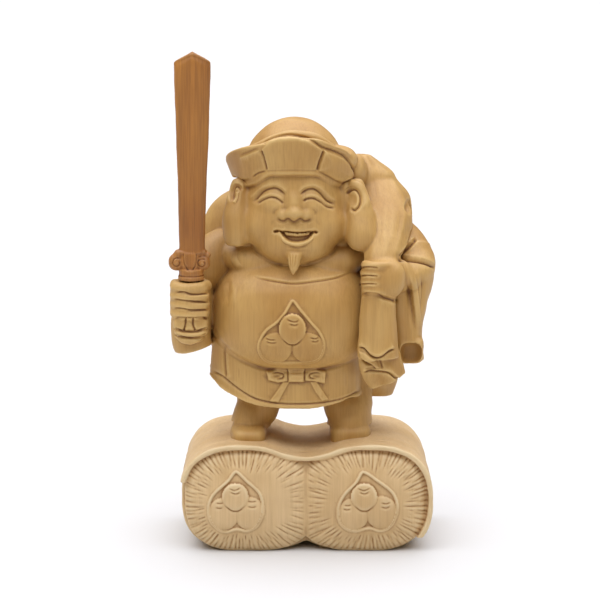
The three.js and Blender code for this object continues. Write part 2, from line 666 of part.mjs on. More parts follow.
function namedMesh(name, solid, colour, roughness) {
  const material = new THREE.MeshStandardMaterial({ color: colour, roughness, metalness: 0 });
  const mesh = new THREE.Mesh(toGeometry(solid), material);
  mesh.name = name;
  return mesh;
}

const model = new THREE.Group();
model.add(namedMesh('figure_on_bales', carving(), 0xc9a064, 0.62));
model.add(namedMesh('sword', sword(), 0xa9753c, 0.55));

// The origin is under the middle of the whole object.
const bounds = new THREE.Box3().setFromObject(model);
const middle = bounds.getCenter(new THREE.Vector3());
model.position.set(-middle.x, -middle.y, -bounds.min.z);

export default model;
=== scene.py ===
# Carved wooden lucky god with a sword and a treasure sack, standing on two rice bales.
# Everything is drawn in millimetres in the figure's own frame, with z = 0 at its soles.
import math

import bmesh
import bpy
import numpy as np
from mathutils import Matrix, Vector


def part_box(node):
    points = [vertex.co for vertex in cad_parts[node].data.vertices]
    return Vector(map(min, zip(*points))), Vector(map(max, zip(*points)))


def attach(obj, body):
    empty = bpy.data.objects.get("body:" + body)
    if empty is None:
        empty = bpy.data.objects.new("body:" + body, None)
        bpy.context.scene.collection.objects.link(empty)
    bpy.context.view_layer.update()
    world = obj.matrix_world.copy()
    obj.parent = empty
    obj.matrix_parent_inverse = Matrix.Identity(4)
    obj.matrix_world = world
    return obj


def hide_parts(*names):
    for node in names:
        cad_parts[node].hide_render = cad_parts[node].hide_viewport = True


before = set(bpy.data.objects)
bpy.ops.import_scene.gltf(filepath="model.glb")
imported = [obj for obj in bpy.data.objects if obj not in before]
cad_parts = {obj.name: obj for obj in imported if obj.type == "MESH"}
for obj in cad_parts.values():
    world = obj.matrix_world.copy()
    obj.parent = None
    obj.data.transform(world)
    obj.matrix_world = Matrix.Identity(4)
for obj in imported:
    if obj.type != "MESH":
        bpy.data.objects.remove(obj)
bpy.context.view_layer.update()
mm = 0.001

# Where the figure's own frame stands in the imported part, found by three places known in it
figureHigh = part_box("figure_on_bales")[1]
swordLow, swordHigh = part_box("sword")
known = {"hatTop": 99.9, "tipRight": -26.8, "gripY": -18.6}
origin = np.array([
    swordHigh.x / mm - known["tipRight"],
    (swordLow.y + swordHigh.y) / 2 / mm - known["gripY"],
    figureHigh.z / mm - known["hatTop"],
])

# The camera as in the picture: its distance, the angle it looks down at, its lens and the height it aims at
picture = {"distance": 633, "elevation": 10, "lens": 120, "sensor": 36, "targetZ": 76.2}
elevation = math.radians(picture["elevation"])
ahead = np.array([0, math.cos(elevation), -math.sin(elevation)])
upward = np.array([0, math.sin(elevation), math.cos(elevation)])
target = np.array([0, 0, picture["targetZ"] - origin[2]])
cameraPlace = target - ahead * picture["distance"]


def inPicture(co):
    # Millimetres right of and above the picture's middle, for points of the figure's frame
    rel = co - cameraPlace
    scale = picture["distance"] / (rel @ ahead)
    return rel[:, 0] * scale, (rel @ upward) * scale


def fromPicture(s, t, y):
    # The point of the figure's frame that the picture shows at s, t, where its depth is y
    ray = ahead * picture["distance"] + upward * t + np.array([s, 0, 0])
    return cameraPlace + ray * (y - cameraPlace[1]) / ray[1]


def smoothLine(points, share):
    # Points at shares 0 to 1 along a smooth line through a few points
    p = np.asarray(points, float)
    p = np.vstack([2 * p[0] - p[1], p, 2 * p[-1] - p[-2]])
    place = np.clip(share, 0, 1) * (len(p) - 3)
    i = np.minimum(place.astype(int), len(p) - 4)
    f = (place - i)[:, None]
    a, b, c, d = p[i], p[i + 1], p[i + 2], p[i + 3]
    return 0.5 * (2 * b + (c - a) * f + (2 * a - 5 * b + 4 * c - d) * f ** 2 + (3 * b - a - 3 * c + d) * f ** 3)


def ease(value, low, high):
    # 0 to 1, smoothly, while a value goes from low to high
    x = np.clip((value - low) / (high - low), 0, 1)
    return x * x * (3 - 2 * x)


# Forms: each adds one closed shape to a bmesh

def readCo(verts):
    return np.array([v.co for v in verts])


def moveTo(verts, co):
    for v, spot in zip(verts, co):
        v.co = spot


def asMesh(name, bm):
    mesh = bpy.data.meshes.new(name)
    bm.to_mesh(mesh)
    bm.free()
    return mesh


def pour(bm, shape, placed):
    # Puts a shape's vertices in their places and adds it to the rest
    moveTo(shape.verts, placed)
    mesh = asMesh("shape", shape)
    bm.from_mesh(mesh)
    bpy.data.meshes.remove(mesh)


def roundShape(sides, rings):
    shape = bmesh.new()
    bmesh.ops.create_uvsphere(shape, u_segments=sides, v_segments=rings, radius=1)
    return shape, readCo(shape.verts)


def addBall(bm, centre, radii, fullness=2.0, sides=56, rings=32):
    # A round form, squarer where its fullness is over 2
    ball, co = roundShape(sides, rings)
    size = (np.abs(co) ** fullness).sum(axis=1) ** (-1 / fullness)
    pour(bm, ball, co * size[:, None] * np.array(radii) + np.array(centre))


def addLimb(bm, stations, across=(1, 0, 0), blunt=2.6, flat=False, relief=None, sides=56, rings=56):
    # A form swept through stations x, y, z, half-width and half-depth. Its width runs near to across, its ends
    # are round unless flat, and blunter with a higher blunt. relief(angle, share) is added all round.
    limb, co = roundShape(sides, rings)
    turn = np.arccos(np.clip(-co[:, 2], -1, 1)) / math.pi
    share = np.clip((turn * rings - 1) / (rings - 2), 0, 1) if flat else turn
    swell = np.ones(len(co)) if flat else (1 - np.abs(2 * share - 1) ** blunt).clip(0) ** (1 / blunt)
    swell[(turn < 1e-4) | (turn > 1 - 1e-4)] = 0
    angle = np.arctan2(co[:, 1], co[:, 0])
    line = smoothLine(stations, share)
    tangent = smoothLine(stations, share + 1e-3)[:, :3] - smoothLine(stations, share - 1e-3)[:, :3]
    tangent /= np.linalg.norm(tangent, axis=1)[:, None]
    sideways = np.array(across, float)
    normal = sideways - tangent * (tangent @ sideways)[:, None]
    normal /= np.linalg.norm(normal, axis=1)[:, None]
    binormal = np.cross(normal, tangent)
    grow = relief(angle, share) if relief else 0
    wide = (line[:, 3] + grow) * swell * np.cos(angle)
    deep = (line[:, 4] + grow) * swell * np.sin(angle)
    pour(bm, limb, line[:, :3] + normal * wide[:, None] + binormal * deep[:, None])


def addWall(bm, surface, sides=120, steps=16, peak=None):
    # A solid between two rims. surface(angle, share) gives its wall, and peak the height of its top's middle.
    wall = bmesh.new()
    bmesh.ops.create_cone(wall, cap_ends=True, cap_tris=True, segments=sides, radius1=1, radius2=1, depth=1)
    upright = [e for e in wall.edges if abs(e.verts[0].co.z - e.verts[1].co.z) > 0.5]
    bmesh.ops.subdivide_edges(wall, edges=upright, cuts=steps - 1, use_grid_fill=True)
    co = readCo(wall.verts)
    share = co[:, 2] + 0.5
    placed = surface(np.arctan2(co[:, 1], co[:, 0]), share)
    isMiddle = np.hypot(co[:, 0], co[:, 1]) < 0.5
    for end in (0, 1):
        rim = ~isMiddle & (np.abs(share - end) < 1e-3)
        placed[isMiddle & (np.abs(share - end) < 1e-3)] = placed[rim].mean(axis=0)
    if peak is not None:
        placed[isMiddle & (share > 0.5), 2] = peak
    pour(bm, wall, placed)


def around(angle, x, y, z, wide, deep):
    # Points of a wall round a middle, where sin(angle) is 1 in front
    return np.stack([x + wide * np.cos(angle), y - deep * np.sin(angle), z], axis=1)


def addPost(bm, x, y, low, high, radius, sides):
    # An upright round post between two heights
    made = bmesh.ops.create_cone(bm, cap_ends=True, segments=sides, radius1=radius, radius2=radius,
                                 depth=high - low)
    bmesh.ops.translate(bm, verts=made["verts"], vec=(x, y, (low + high) / 2))


# Carving tools: strokes along lines drawn on what is seen of the clay

def readClay(mesh):
    # The clay as arrays: places in the figure's frame, normals, how far strokes will move it, and edges
    n = len(mesh.vertices)
    co, normal = np.empty(n * 3, np.float32), np.empty(n * 3, np.float32)
    mesh.vertices.foreach_get("co", co)
    mesh.vertex_normals.foreach_get("vector", normal)
    edges = np.empty(len(mesh.edges) * 2, np.int32)
    mesh.edges.foreach_get("vertices", edges)
    return {"co": co.reshape(-1, 3).astype(float) / mm - origin, "normal": normal.reshape(-1, 3).astype(float),
            "move": np.zeros(n), "edges": edges.reshape(-1, 2).T}


def writeClay(mesh, clay):
    mesh.vertices.foreach_set("co", ((clay["co"] + origin) * mm).astype(np.float32).ravel())
    mesh.update()


def relaxed(clay, strength, rounds):
    # Where the clay would lie if every point went some way to the middle of its neighbours
    a, b = clay["edges"]
    n = len(clay["co"])
    count = np.maximum(np.bincount(a, minlength=n) + np.bincount(b, minlength=n), 1)
    co = clay["co"].copy()
    for _ in range(rounds):
        for axis in range(3):
            value = co[:, axis]
            total = np.bincount(a, value[b], n) + np.bincount(b, value[a], n)
            co[:, axis] = value + strength * (total / count - value)
    return co


def lookAt(index, s, t, facing):
    # One look at the clay: which points it shows, where, how squarely, and what strokes do to them
    return {"index": index, "s": s, "t": t, "facing": ease(facing, 0, 0.3), "move": np.zeros(len(index))}


def inFront(clay, mask):
    # What the picture shows of the masked clay
    index = np.nonzero(mask)[0]
    co = clay["co"][index]
    toCamera = cameraPlace - co
    toCamera /= np.linalg.norm(toCamera, axis=1)[:, None]
    return lookAt(index, *inPicture(co), (clay["normal"][index] * toCamera).sum(axis=1))


def squareOn(clay, mask, right, up):
    # The masked clay seen square on, with s and t along two directions of the figure's frame
    index = np.nonzero(mask)[0]
    co = clay["co"][index]
    return lookAt(index, co @ np.array(right, float), co @ np.array(up, float),
                  clay["normal"][index] @ np.cross(right, up))


def gather(clay, view):
    # Adds one look's strokes to how far the clay will move
    clay["move"][view["index"]] += view["move"] * view["facing"]


def press(clay, *views):
    # Moves the clay along its normals by what the strokes gathered
    for view in views:
        gather(clay, view)
    clay["co"] += clay["normal"] * clay["move"][:, None]


def drawn(points, count=28):
    return smoothLine(points, np.linspace(0, 1, count))


def near(view, path, reach):
    # The clay that is seen in the box round a line: its indices in the view, s and t
    low, high = path.min(axis=0) - reach, path.max(axis=0) + reach
    s, t = view["s"], view["t"]
    picked = np.nonzero((s > low[0]) & (s < high[0]) & (t > low[1]) & (t < high[1]))[0]
    return picked, s[picked], t[picked]


def beside(view, path, reach):
    # What lies near a drawn line: indices, distances, sides (positive left of its run), shares
    picked, s, t = near(view, path, reach)
    spot = np.stack([s, t], axis=1)
    step = np.diff(path, axis=0)
    length = np.hypot(step[:, 0], step[:, 1])
    travelled = np.concatenate([[0], np.cumsum(length)])
    nearest = np.full(len(picked), np.inf)
    side, share = np.zeros(len(picked)), np.zeros(len(picked))
    for i, (start, run) in enumerate(zip(path[:-1], step)):
        rel = spot - start
        f = np.clip((rel @ run) / max(length[i] ** 2, 1e-9), 0, 1)
        distance = np.hypot(rel[:, 0] - f * run[0], rel[:, 1] - f * run[1])
        closer = distance < nearest
        nearest[closer] = distance[closer]
        side[closer] = np.sign(run[0] * rel[:, 1] - run[1] * rel[:, 0])[closer]
        share[closer] = ((travelled[i] + f * length[i]) / travelled[-1])[closer]
    close = nearest < reach
    return picked[close], nearest[close], side[close], share[close]


def taper(share, ends):
    # Fades a stroke out towards both of its ends
    return ease(np.minimum(share, 1 - share), -1e-6, ends) if ends else 1.0


def groove(view, points, width, depth, ends=0.25):
    # A V-shaped cut along a drawn line
    picked, away, _, share = beside(view, drawn(points), width / 2)
    view["move"][picked] -= depth * (1 - away / (width / 2)) * taper(share, ends)


def ridge(view, points, width, height, ends=0.15):
    # A round raised line
    picked, away, _, share = beside(view, drawn(points), width / 2)
    view["move"][picked] += height * np.sqrt((1 - (away / (width / 2)) ** 2).clip(0)) * taper(share, ends)


def ledge(view, points, height, fade, ends=0.12, crisp=0.3):
    # Raises what lies left of a line's run, sharp at the line and fading from it
    picked, away, side, share = beside(view, drawn(points), fade)
    rise = height * ease(away * side, -crisp, crisp) * (1 - away / fade).clip(0, 1) ** 1.5
    view["move"][picked] += rise * taper(share, ends)


def closedLine(points, count=64):
    # A smooth closed outline through a few points
    p = np.asarray(points, float)
    wrapped = np.vstack([p[-2:], p, p[:3]])
    return smoothLine(wrapped, (np.arange(count) / count * len(p) + 2) / (len(wrapped) - 1))


def insideOf(view, outline, reach):
    # How far inside (positive) or outside a closed line the clay is seen
    closed = np.vstack([outline, outline[:1]])
    picked, s, t = near(view, closed, reach)
    away = np.full(len(picked), np.inf)
    crossings = np.zeros(len(picked), int)
    for (s0, t0), (s1, t1) in zip(closed[:-1], closed[1:]):
        ds, dt = s1 - s0, t1 - t0
        f = np.clip(((s - s0) * ds + (t - t0) * dt) / max(ds * ds + dt * dt, 1e-9), 0, 1)
        away = np.minimum(away, np.hypot(s - s0 - f * ds, t - t0 - f * dt))
        if abs(dt) > 1e-9:
            crossings += ((t0 > t) != (t1 > t)) & (s < s0 + ds * (t - t0) / dt)
    return picked, np.where(crossings % 2 == 1, away, -away)


def plate(view, outline, height, edge=0.5, crown=0.0):
    # Raises, or with a negative height sinks, what is inside a closed outline
    picked, inside = insideOf(view, np.asarray(outline, float), edge)
    rise = height * ease(inside, -edge / 2, edge / 2)
    if crown:
        deepest = max(inside.max(initial=0), 1e-6)
        rise += crown * (1 - (1 - inside.clip(0) / deepest) ** 2)
    view["move"][picked] += rise


def mound(view, centre, radii, height):
    # A soft round rise or dent
    q = ((view["s"] - centre[0]) / radii[0]) ** 2 + ((view["t"] - centre[1]) / radii[1]) ** 2
    picked = q < 1
    view["move"][picked] += height * (1 - q[picked]) ** 2


def jewelEmblem(view, emblem, sunk=0.22, rim=1.05, rise=0.32):
    # A sunk field in a raised rim, with round jewels that overlap in it and short arcs cut in them
    picked, inside = insideOf(view, closedLine(emblem["outline"]), 1.2)
    s, t = view["s"][picked], view["t"][picked]
    across = ((inside - rim / 2) / (rim / 2)).clip(-1, 1)
    bank = rise * np.sqrt(1 - across ** 2)
    field = -sunk * ease(inside, rim * 0.75, rim * 1.15)
    for (cs, ct, rs, rt), lift in zip(emblem["jewels"], (0.1, 0.1, 0.45)):  # the third lies over the others
        q = ((s - cs) / rs) ** 2 + ((t - ct) / rt) ** 2
        dome = -sunk + lift + 0.55 * np.sqrt((1 - q ** 2).clip(0))
        field = np.where((q < 1) & (inside > rim * 0.8), np.maximum(field, dome), field)
    view["move"][picked] += bank + field
    for arc in emblem["arcs"]:
        groove(view, arc, 0.8, 0.4, ends=0.3)


# Bales: the mat over two bales and their domed straw ends
bale = {
    "x": 1.85, "z": -origin[2], "width": 39.6, "height": 34.2, "length": 43, "fullness": 2.5, "flatSink": 1.9,
    "valley": 3.6, "valleyRound": 1.15, "notch": 1.6, "notchSlope": 0.42, "middleShare": 0.25,
    "mat": 1.5, "lip": 1, "hemLeft": 22.3, "hemRight": 4.4,
    "cleft": 4, "dome": 2.6, "rearDome": 2.2, "domePower": 2.6, "rimDrop": 0.8, "overlap": 2.7,
    "innerFullness": 3.1,
    "fill": (25.6, 3.4, (7, 2.1, 4.6)),  # height, setback and radii of the straw between two ends
    "cuts": ((72, 0.70, 1.2, 1), (68, 0.58, 0.84, 0.8)),  # how many, from and to shares of the way out, width
    "cutDepth": 0.34,
}
bale["rise"] = (bale["height"] + bale["flatSink"]) / 2
bale["middleZ"] = bale["height"] - bale["rise"]
bale["half"] = bale["length"] / 2
bale["strawY"] = bale["half"] - bale["lip"] - bale["cleft"]
bale["strawInset"] = bale["mat"] + 0.2


def baleOutline(x, inset, isTop):
    # The height of the pair's top or underside at x from its middle
    off = np.abs(np.abs(x) - bale["width"] / 2)
    across = (off / (bale["width"] / 2 - inset)).clip(0, 1)
    arch = (bale["rise"] - inset) * (1 - across ** bale["fullness"]) ** (1 / bale["fullness"])
    isBetween = np.abs(x) < bale["width"] * bale["middleShare"]
    if isTop:
        valley = bale["height"] - bale["valley"] - inset + x * x / (bale["width"] * bale["valleyRound"])
        top = bale["middleZ"] + arch
        return np.where(isBetween, np.maximum(top, valley), top)
    notch = (bale["notch"] + inset - bale["notchSlope"] * np.abs(x)).clip(0)
    under = (bale["middleZ"] - arch).clip(0)
    return np.where(isBetween, np.minimum(under, notch), under)


def addBaleBlock(bm, inset, nearY, farY):
    # The pair of bales between two depths
    block = bmesh.new()
    bmesh.ops.create_cone(block, cap_ends=True, cap_tris=False, segments=360, radius1=1, radius2=1, depth=1)
    co = readCo(block.verts)
    angle = np.arctan2(co[:, 1], co[:, 0])
    x = (bale["width"] - inset) * np.cos(angle)
    z = np.where(np.sin(angle) >= 0, baleOutline(x, inset, True), baleOutline(x, inset, False))
    y = np.where(co[:, 2] < 0, nearY, farY)
    pour(bm, block, np.stack([x + bale["x"], y, z + bale["z"]], axis=1))


def strawReach(dx, dz, isInner):
    # How far the straw runs from a bale's middle in one direction, past the line where the bales meet
    inset = bale["strawInset"]
    halfWidth = np.where(isInner, bale["width"] / 2 + bale["overlap"], bale["width"] / 2 - inset)
    power = np.where(isInner, bale["innerFullness"], bale["fullness"])
    return (np.abs(dx / halfWidth) ** power + np.abs(dz / (bale["rise"] - inset)) ** power) ** (-1 / power)


def addStrawEnd(bm, side, front):
    # One domed end of a bale, set back round its rim
    end, co = roundShape(160, 80)
    r = np.hypot(co[:, 0], co[:, 1]).clip(0, 1)
    angle = np.arctan2(co[:, 1], co[:, 0])
    dx, dz = np.cos(angle) * front, np.sin(angle)
    reach = strawReach(dx, dz, dx * side < 0) * r
    dome = bale["dome"] if front > 0 else bale["rearDome"]
    out = dome * (1 - r ** bale["domePower"]) - bale["rimDrop"] * ease(r, 0.88, 1)
    out = np.where(co[:, 2] >= -1e-6, out, -bale["cleft"] - 1)
    x = side * bale["width"] / 2 + reach * dx
    y = -front * (bale["half"] - bale["lip"] + out)
    z = bale["middleZ"] + reach * dz
    z = np.minimum(z, baleOutline(x, bale["strawInset"], True))
    z = np.maximum(z, baleOutline(x, 0.3, False))
    pour(bm, end, np.stack([x + bale["x"], y, z + bale["z"]], axis=1))


def matPieces():
    # The mat over the pair and what is cut from it: all under its hems, lower on the right, and inside its lips
    half, straw = bale["half"], bale["strawY"]
    whole = bmesh.new()
    addBaleBlock(whole, 0, -half, half)
    cuts = []
    for x, hem in ((-bale["width"], bale["hemLeft"]), (bale["width"], bale["hemRight"])):
        room = bmesh.new()
        cube = bmesh.ops.create_cube(room, size=1)["verts"]
        size = np.array([bale["width"] * 2, bale["length"] * 2, hem * 2])
        moveTo(cube, readCo(cube) * size + np.array([x + bale["x"], 0, bale["z"]]))
        cuts.append(room)
    for nearY, farY in ((-half - 1, -straw), (straw, half + 1)):
        room = bmesh.new()
        addBaleBlock(room, bale["mat"], nearY, farY)
        cuts.append(room)
    return whole, cuts


def baleForms():
    bm = bmesh.new()
    height, setback, radii = bale["fill"]
    addBaleBlock(bm, bale["mat"] * 0.45, -bale["strawY"] - 0.2, bale["strawY"] + 0.2)
    for front in (1, -1):
        for side in (-1, 1):
            addStrawEnd(bm, side, front)
        addBall(bm, (bale["x"], -front * (bale["half"] - setback), bale["z"] + height), radii)
    return bm


# The figure's forms, from the soles up. In figureShape are the values that several of them share.
figureShape = {
    # Each leg's place, half-width and depth under the skirt, and each shoe's middle, half-width and toe
    "legs": ((-12.3, 7, 0, -16.2, 5.7, -15.2), (15, 7.8, 5, 16, 6.5, -11.4)),
    "skirtWide": 23.9, "skirtDeep": 15.6, "skirtTop": 32, "skirtFullness": 3.4,
    "belly": ((-2.2, -4.2, 38.6), (25.6, 18.8, 18.6), 2.5),  # middle, radii and fullness
    "faceX": -1.7, "ears": ((-18.9, 4.4), (17.6, 5)),  # place and half-width of the lobe
    "hat": (-2.1, -2.5), "hatDeep": 17.4,
}


def addLegs(bm):
    for x, halfWidth, back, shoeX, shoeHalf, toe in figureShape["legs"]:
        addLimb(bm, [(x, back, 26, 8, 8.5), (x, back / 2 - 0.5, 14, halfWidth, 7.5),
                     (x * 0.7 + shoeX * 0.3, -1, 8, halfWidth, 7.6),
                     (x * 0.2 + shoeX * 0.8, -1.8, 4.6, shoeHalf + 0.5, 8.2),
                     (x * 0.1 + shoeX * 0.9, -2, 2.4, shoeHalf + 0.8, 8.6)], flat=True)
        addBall(bm, (shoeX, (toe + 7) / 2, -0.2), (shoeHalf, (7 - toe) / 2, 4), 3.6)


def skirtHem(x):
    return 10.4 + 9.2 * (np.abs(x + 1.6) / 27.2) ** 2.5 - 2.2 * ease(x, 15, 20)


def addSkirt(bm):
    top = figureShape["skirtTop"]
    power = 2 / figureShape["skirtFullness"]

    def wall(angle, share):
        wave = 0.2 * np.cos(angle * 13 + 0.6) * (1 - share)
        rim = 0.4 * (1 - ease(share, 0.02, 0.1))
        wide = figureShape["skirtWide"] + wave + rim
        deep = figureShape["skirtDeep"] + wave + rim
        c, s = np.cos(angle), np.sin(angle)
        x = -4.6 + wide * (1 - 0.03 * share) * np.sign(c) * np.abs(c) ** power
        y = -0.8 - deep * (1 - 0.05 * share) * np.sign(s) * np.abs(s) ** power
        return np.stack([x, y, skirtHem(x) + (top - skirtHem(x)) * share], axis=1)

    addWall(bm, wall, sides=200, steps=24)


def addTorso(bm):
    addBall(bm, *figureShape["belly"], sides=96, rings=64)
    addLimb(bm, [(-2, 1, 24, 18, 13), (-2, 1, 40, 22.5, 15), (-2, -0.6, 51, 22.6, 15.6),
                 (-2, -1.6, 59, 19, 12.6), (-2, -3, 66, 13, 11)], flat=True)
    # The robe round the shoulders and the neck
    addLimb(bm, [(-22, -3.6, 57.8, 4, 4.6), (-15.5, -8.8, 55.6, 4.6, 4.6), (-2, -9.8, 52.6, 4.4, 4.6),
                 (12, -9.4, 55.4, 4.6, 4.6), (20, -4.6, 58.2, 4, 4.6)], across=(0, 0, 1), flat=True)
    addBall(bm, (-1, 2, 62), (20, 11, 9), 2.3)


def addHead(bm):
    x = figureShape["faceX"]
    addBall(bm, (x, -5.5, 72), (16, 14.4, 16.6), 2.15, sides=96, rings=64)
    addBall(bm, (x + 0.1, -12, 63.2), (12.4, 8.4, 8), 2.1, sides=96, rings=64)
    addBall(bm, (x, -9.1, 79), (13, 10.4, 8.5), 2.2)
    for side in (-1, 1):
        addBall(bm, (x + side * 7.8, -11.2, 67.8), (8.3, 7.8, 8.1))
        addBall(bm, (x + side * 15, -5.6, 71), (5, 6.4, 13))


def addNose(bm):
    x = figureShape["faceX"]
    addBall(bm, (x, -19, 72.5), (2.9, 3, 2.3))
    addLimb(bm, [(x, -16.6, 80.5, 1.7, 1.6), (x, -18.4, 76.8, 1.9, 2), (x, -19.3, 73, 2.5, 2.3)])
    for side in (-1, 1):
        addBall(bm, (x + side * 3.8, -18, 71.9), (2.1, 2.2, 1.7))


def addBeard(bm):
    x = figureShape["faceX"]
    addLimb(bm, [(x + 0.1, -17, 62.4, 2.8, 1.8), (x, -19.3, 59.4, 2.6, 1.9), (x - 0.2, -20.2, 56, 1.6, 1.4),
                 (x - 0.5, -20.6, 52.6, 0.4, 0.6)])


def addEars(bm):
    for x, half in figureShape["ears"]:
        out = math.copysign(1, x)
        addLimb(bm, [(x - out * 0.4, -8, 81.4, 2.4, 2.6), (x, -9, 77, 3.1, 3.4),
                     (x + out * 0.7, -11, 69.5, half, 4.4), (x + out * 0.7, -12, 60.8, half, 4.6)], blunt=4.5)
    # The right lobe is fuller
    addLimb(bm, [(17.6, -9.4, 76, 3, 3.2), (18, -11, 71, 4.2, 3.8), (18.6, -12.6, 66.4, 4.9, 4.2),
                 (18.8, -13.4, 63, 4.9, 4.2), (18.4, -13.2, 59.6, 4.4, 4)], blunt=3)


def arched(angle, middle, drop):
    # A height that is highest in front and falls to the sides and the back
    return middle - drop * (1 - np.sin(angle).clip(0) ** 0.8)


def besideBrow(angle):
    # How much lower the hat's edge hangs beside the brow
    c = np.abs(np.cos(angle))
    return 2.2 * ease(c, 0.4, 0.72) * (1 - 0.8 * ease(c, 0.85, 1))


def bandFoot(angle):
    # The height of the headband's lower edge
    return arched(angle, 84.1, 6) - besideBrow(angle)


def addHat(bm):
    hatX, hatY = figureShape["hat"]
    addBall(bm, (-1.8, 0.5, 82), (16.2, 16.6, 17.9), sides=96, rings=64)

    def crown(angle, share):
        # The folded panels, rounded at the upper edge
        level = (share / 0.8).clip(0, 1)
        over = ((share - 0.8) / 0.2).clip(0, 1) * math.pi / 2
        inward = 0.8 * (1 - np.cos(over))
        c = np.cos(angle)
        low = arched(angle, 85.4, 3.8) - besideBrow(angle)
        high = arched(angle, 94.9, 8.3 + 1.4 * c) - 1.4 * ease(-c, 0.2, 0.55) - 0.9 * ease(c, 0.35, 0.7)
        left, right = (-c).clip(0) ** 2, c.clip(0) ** 2
        wide = 16.4 + 3.8 * level - inward + left * (2.6 - 1.6 * level) + right * (2.8 - 3.4 * level)
        deep = figureShape["hatDeep"] + 1.6 * level - inward
        return around(angle, hatX, hatY, low + (high - low) * level + 0.6 * np.sin(over), wide, deep)

    def band(angle, share):
        # The narrow headband under them
        swell = 0.6 * np.sqrt((1 - (2 * share - 1) ** 2).clip(0))
        z = bandFoot(angle) + (1.5 + 2.4 * (1 - np.sin(angle).clip(0))) * share
        return around(angle, hatX, hatY, z, 16.3 + swell, 17.2 + swell)

    addWall(bm, crown, steps=20)
    addWall(bm, band, steps=12)
    addLimb(bm, [(-2.1, -2.5, 78, 14, 13.4), (-2.1, -2.5, 88, 15.8, 15.6)], flat=True)


# The soft roll behind the panels, as the picture shows it, with its depth
hatRoll = [(-21, 44, -3), (-19.2, 45.6, -6), (-16, 46.9, -10), (-12.4, 48.6, -12), (-7.9, 50.6, -13.5),
           (-3.2, 51.9, -14), (3.5, 51.4, -13.5), (8.2, 48.8, -11.5), (12.4, 46.1, -9), (16, 43.4, -6),
           (18.6, 40.4, -3), (19.4, 37, -1)]


def addHatRoll(bm):
    stations = [(*fromPicture(s, t, y), 1.8, 1.8) for s, t, y in hatRoll]
    addLimb(bm, stations, across=(0, 0, 1), rings=96, sides=32)
    addBall(bm, fromPicture(-18.4, 43.4, -1.5), (4.2, 5, 3.6), 2.2)
    addBall(bm, fromPicture(17, 40.8, 1), (4.2, 8, 5.4), 2.2)
    addBall(bm, fromPicture(-13, 45.4, -5), (8, 8, 3.6), 2.2)
    addBall(bm, fromPicture(10, 44.6, -5), (8, 8, 4.4), 2.2)


sack = {
    # Height, place, half-width and half-depth, from its underside up
    "levels": [
        (9.6, 25, 5, 5), (14, 20, 11.5, 8), (21, 5.5, 27, 11.4), (29, 2, 31.2, 12.8), (45, 1.2, 32.6, 13.6),
        (60, 1.4, 33.6, 13.6), (68, 2.8, 33, 13.2), (74, 4.8, 30.2, 12.4), (79, 8.6, 22.4, 11.6),
        (82, 14, 15.2, 9.4), (85, 17.2, 7.8, 6), (87.2, 18.4, 3.6, 3),
    ],
    "y": 9.2, "pleats": 13, "pleatDepth": 0.9,
    "neck": [
        (19, 9, 79, 8.6, 4), (21.6, 5, 74.6, 10.2, 6.6), (25.4, -1, 68.8, 9.8, 7.4),
        (26.2, -8.4, 63.4, 7.4, 6.6), (25, -16, 57.6, 5.4, 4.2), (24.1, -20, 51, 4.7, 3.2),
        (23.8, -20.6, 42, 5.6, 3.8), (24, -20.4, 27.4, 6.4, 3.8),
    ],
    "mouth": [(24, -17.6, 32, 5.6, 4), (24.8, -17.2, 25.4, 6.8, 4.6), (27.2, -16.4, 19.7, 5.6, 4)],
}


def addSack(bm):
    def body(angle, share):
        z, x, wide, deep = smoothLine(sack["levels"], share).T
        pleat = sack["pleatDepth"] * (share - 0.6).clip(0) * np.cos(angle * sack["pleats"])
        return around(angle, x, sack["y"], z, wide + pleat, deep + pleat)

    addWall(bm, body, sides=140, steps=44)
    addLimb(bm, sack["neck"], flat=True, sides=96, rings=96,
            relief=lambda angle, share: 0.1 * np.cos(angle * 9))
    addLimb(bm, sack["mouth"], flat=True, sides=96,
            relief=lambda angle, share: 0.7 * share * np.cos(angle * 5 + 0.6))


def addSleeves(bm):
    addLimb(bm, [(-19, 4, 60, 8, 9), (-26, 0, 56, 7.6, 8.6), (-31.6, -5, 50, 6.6, 7.6), (-33, -9, 44, 6, 6.4)])
    addLimb(bm, [(-32.2, -6.6, 54, 4.9, 5.4), (-33.4, -8.8, 41, 6.3, 6.2), (-34.1, -9.6, 34.4, 6.2, 6.6),
                 (-33.9, -9.6, 31, 6.2, 6.6), (-33.3, -9.6, 28.4, 5.9, 6.4)], flat=True)
    addBall(bm, (-28.2, -1, 32.2), (2.6, 5, 4.2))  # closes the gap to the belly
    addLimb(bm, [(25, 4, 67, 7.4, 8), (32, 1, 60.2, 7.4, 7.6), (36, -4, 54.6, 6.2, 7),
                 (33.4, -11, 51.6, 5, 5.6), (28.4, -17.4, 52.6, 4.6, 4.8)], across=(0.6, 0, 0.8))
    addLimb(bm, [(34.6, 0, 58.8, 6.6, 7.6), (36, -3.4, 51, 6.2, 8.6), (34.9, -7, 42.4, 5, 8),
                 (34, -9, 33.8, 4.2, 6.6), (34.8, -9.4, 24.4, 4.3, 6.2)], flat=True, sides=96)
    addLimb(bm, [(30.4, -11.5, 48, 3.2, 4.4), (30.8, -12, 40, 3.6, 4.2), (32, -12, 33, 3.8, 3.8),
                 (33.6, -11.6, 25.4, 3.9, 3.8)], flat=True)
    addBall(bm, (34.3, -10.6, 28.6), (4.3, 5.4, 4.4), 4)


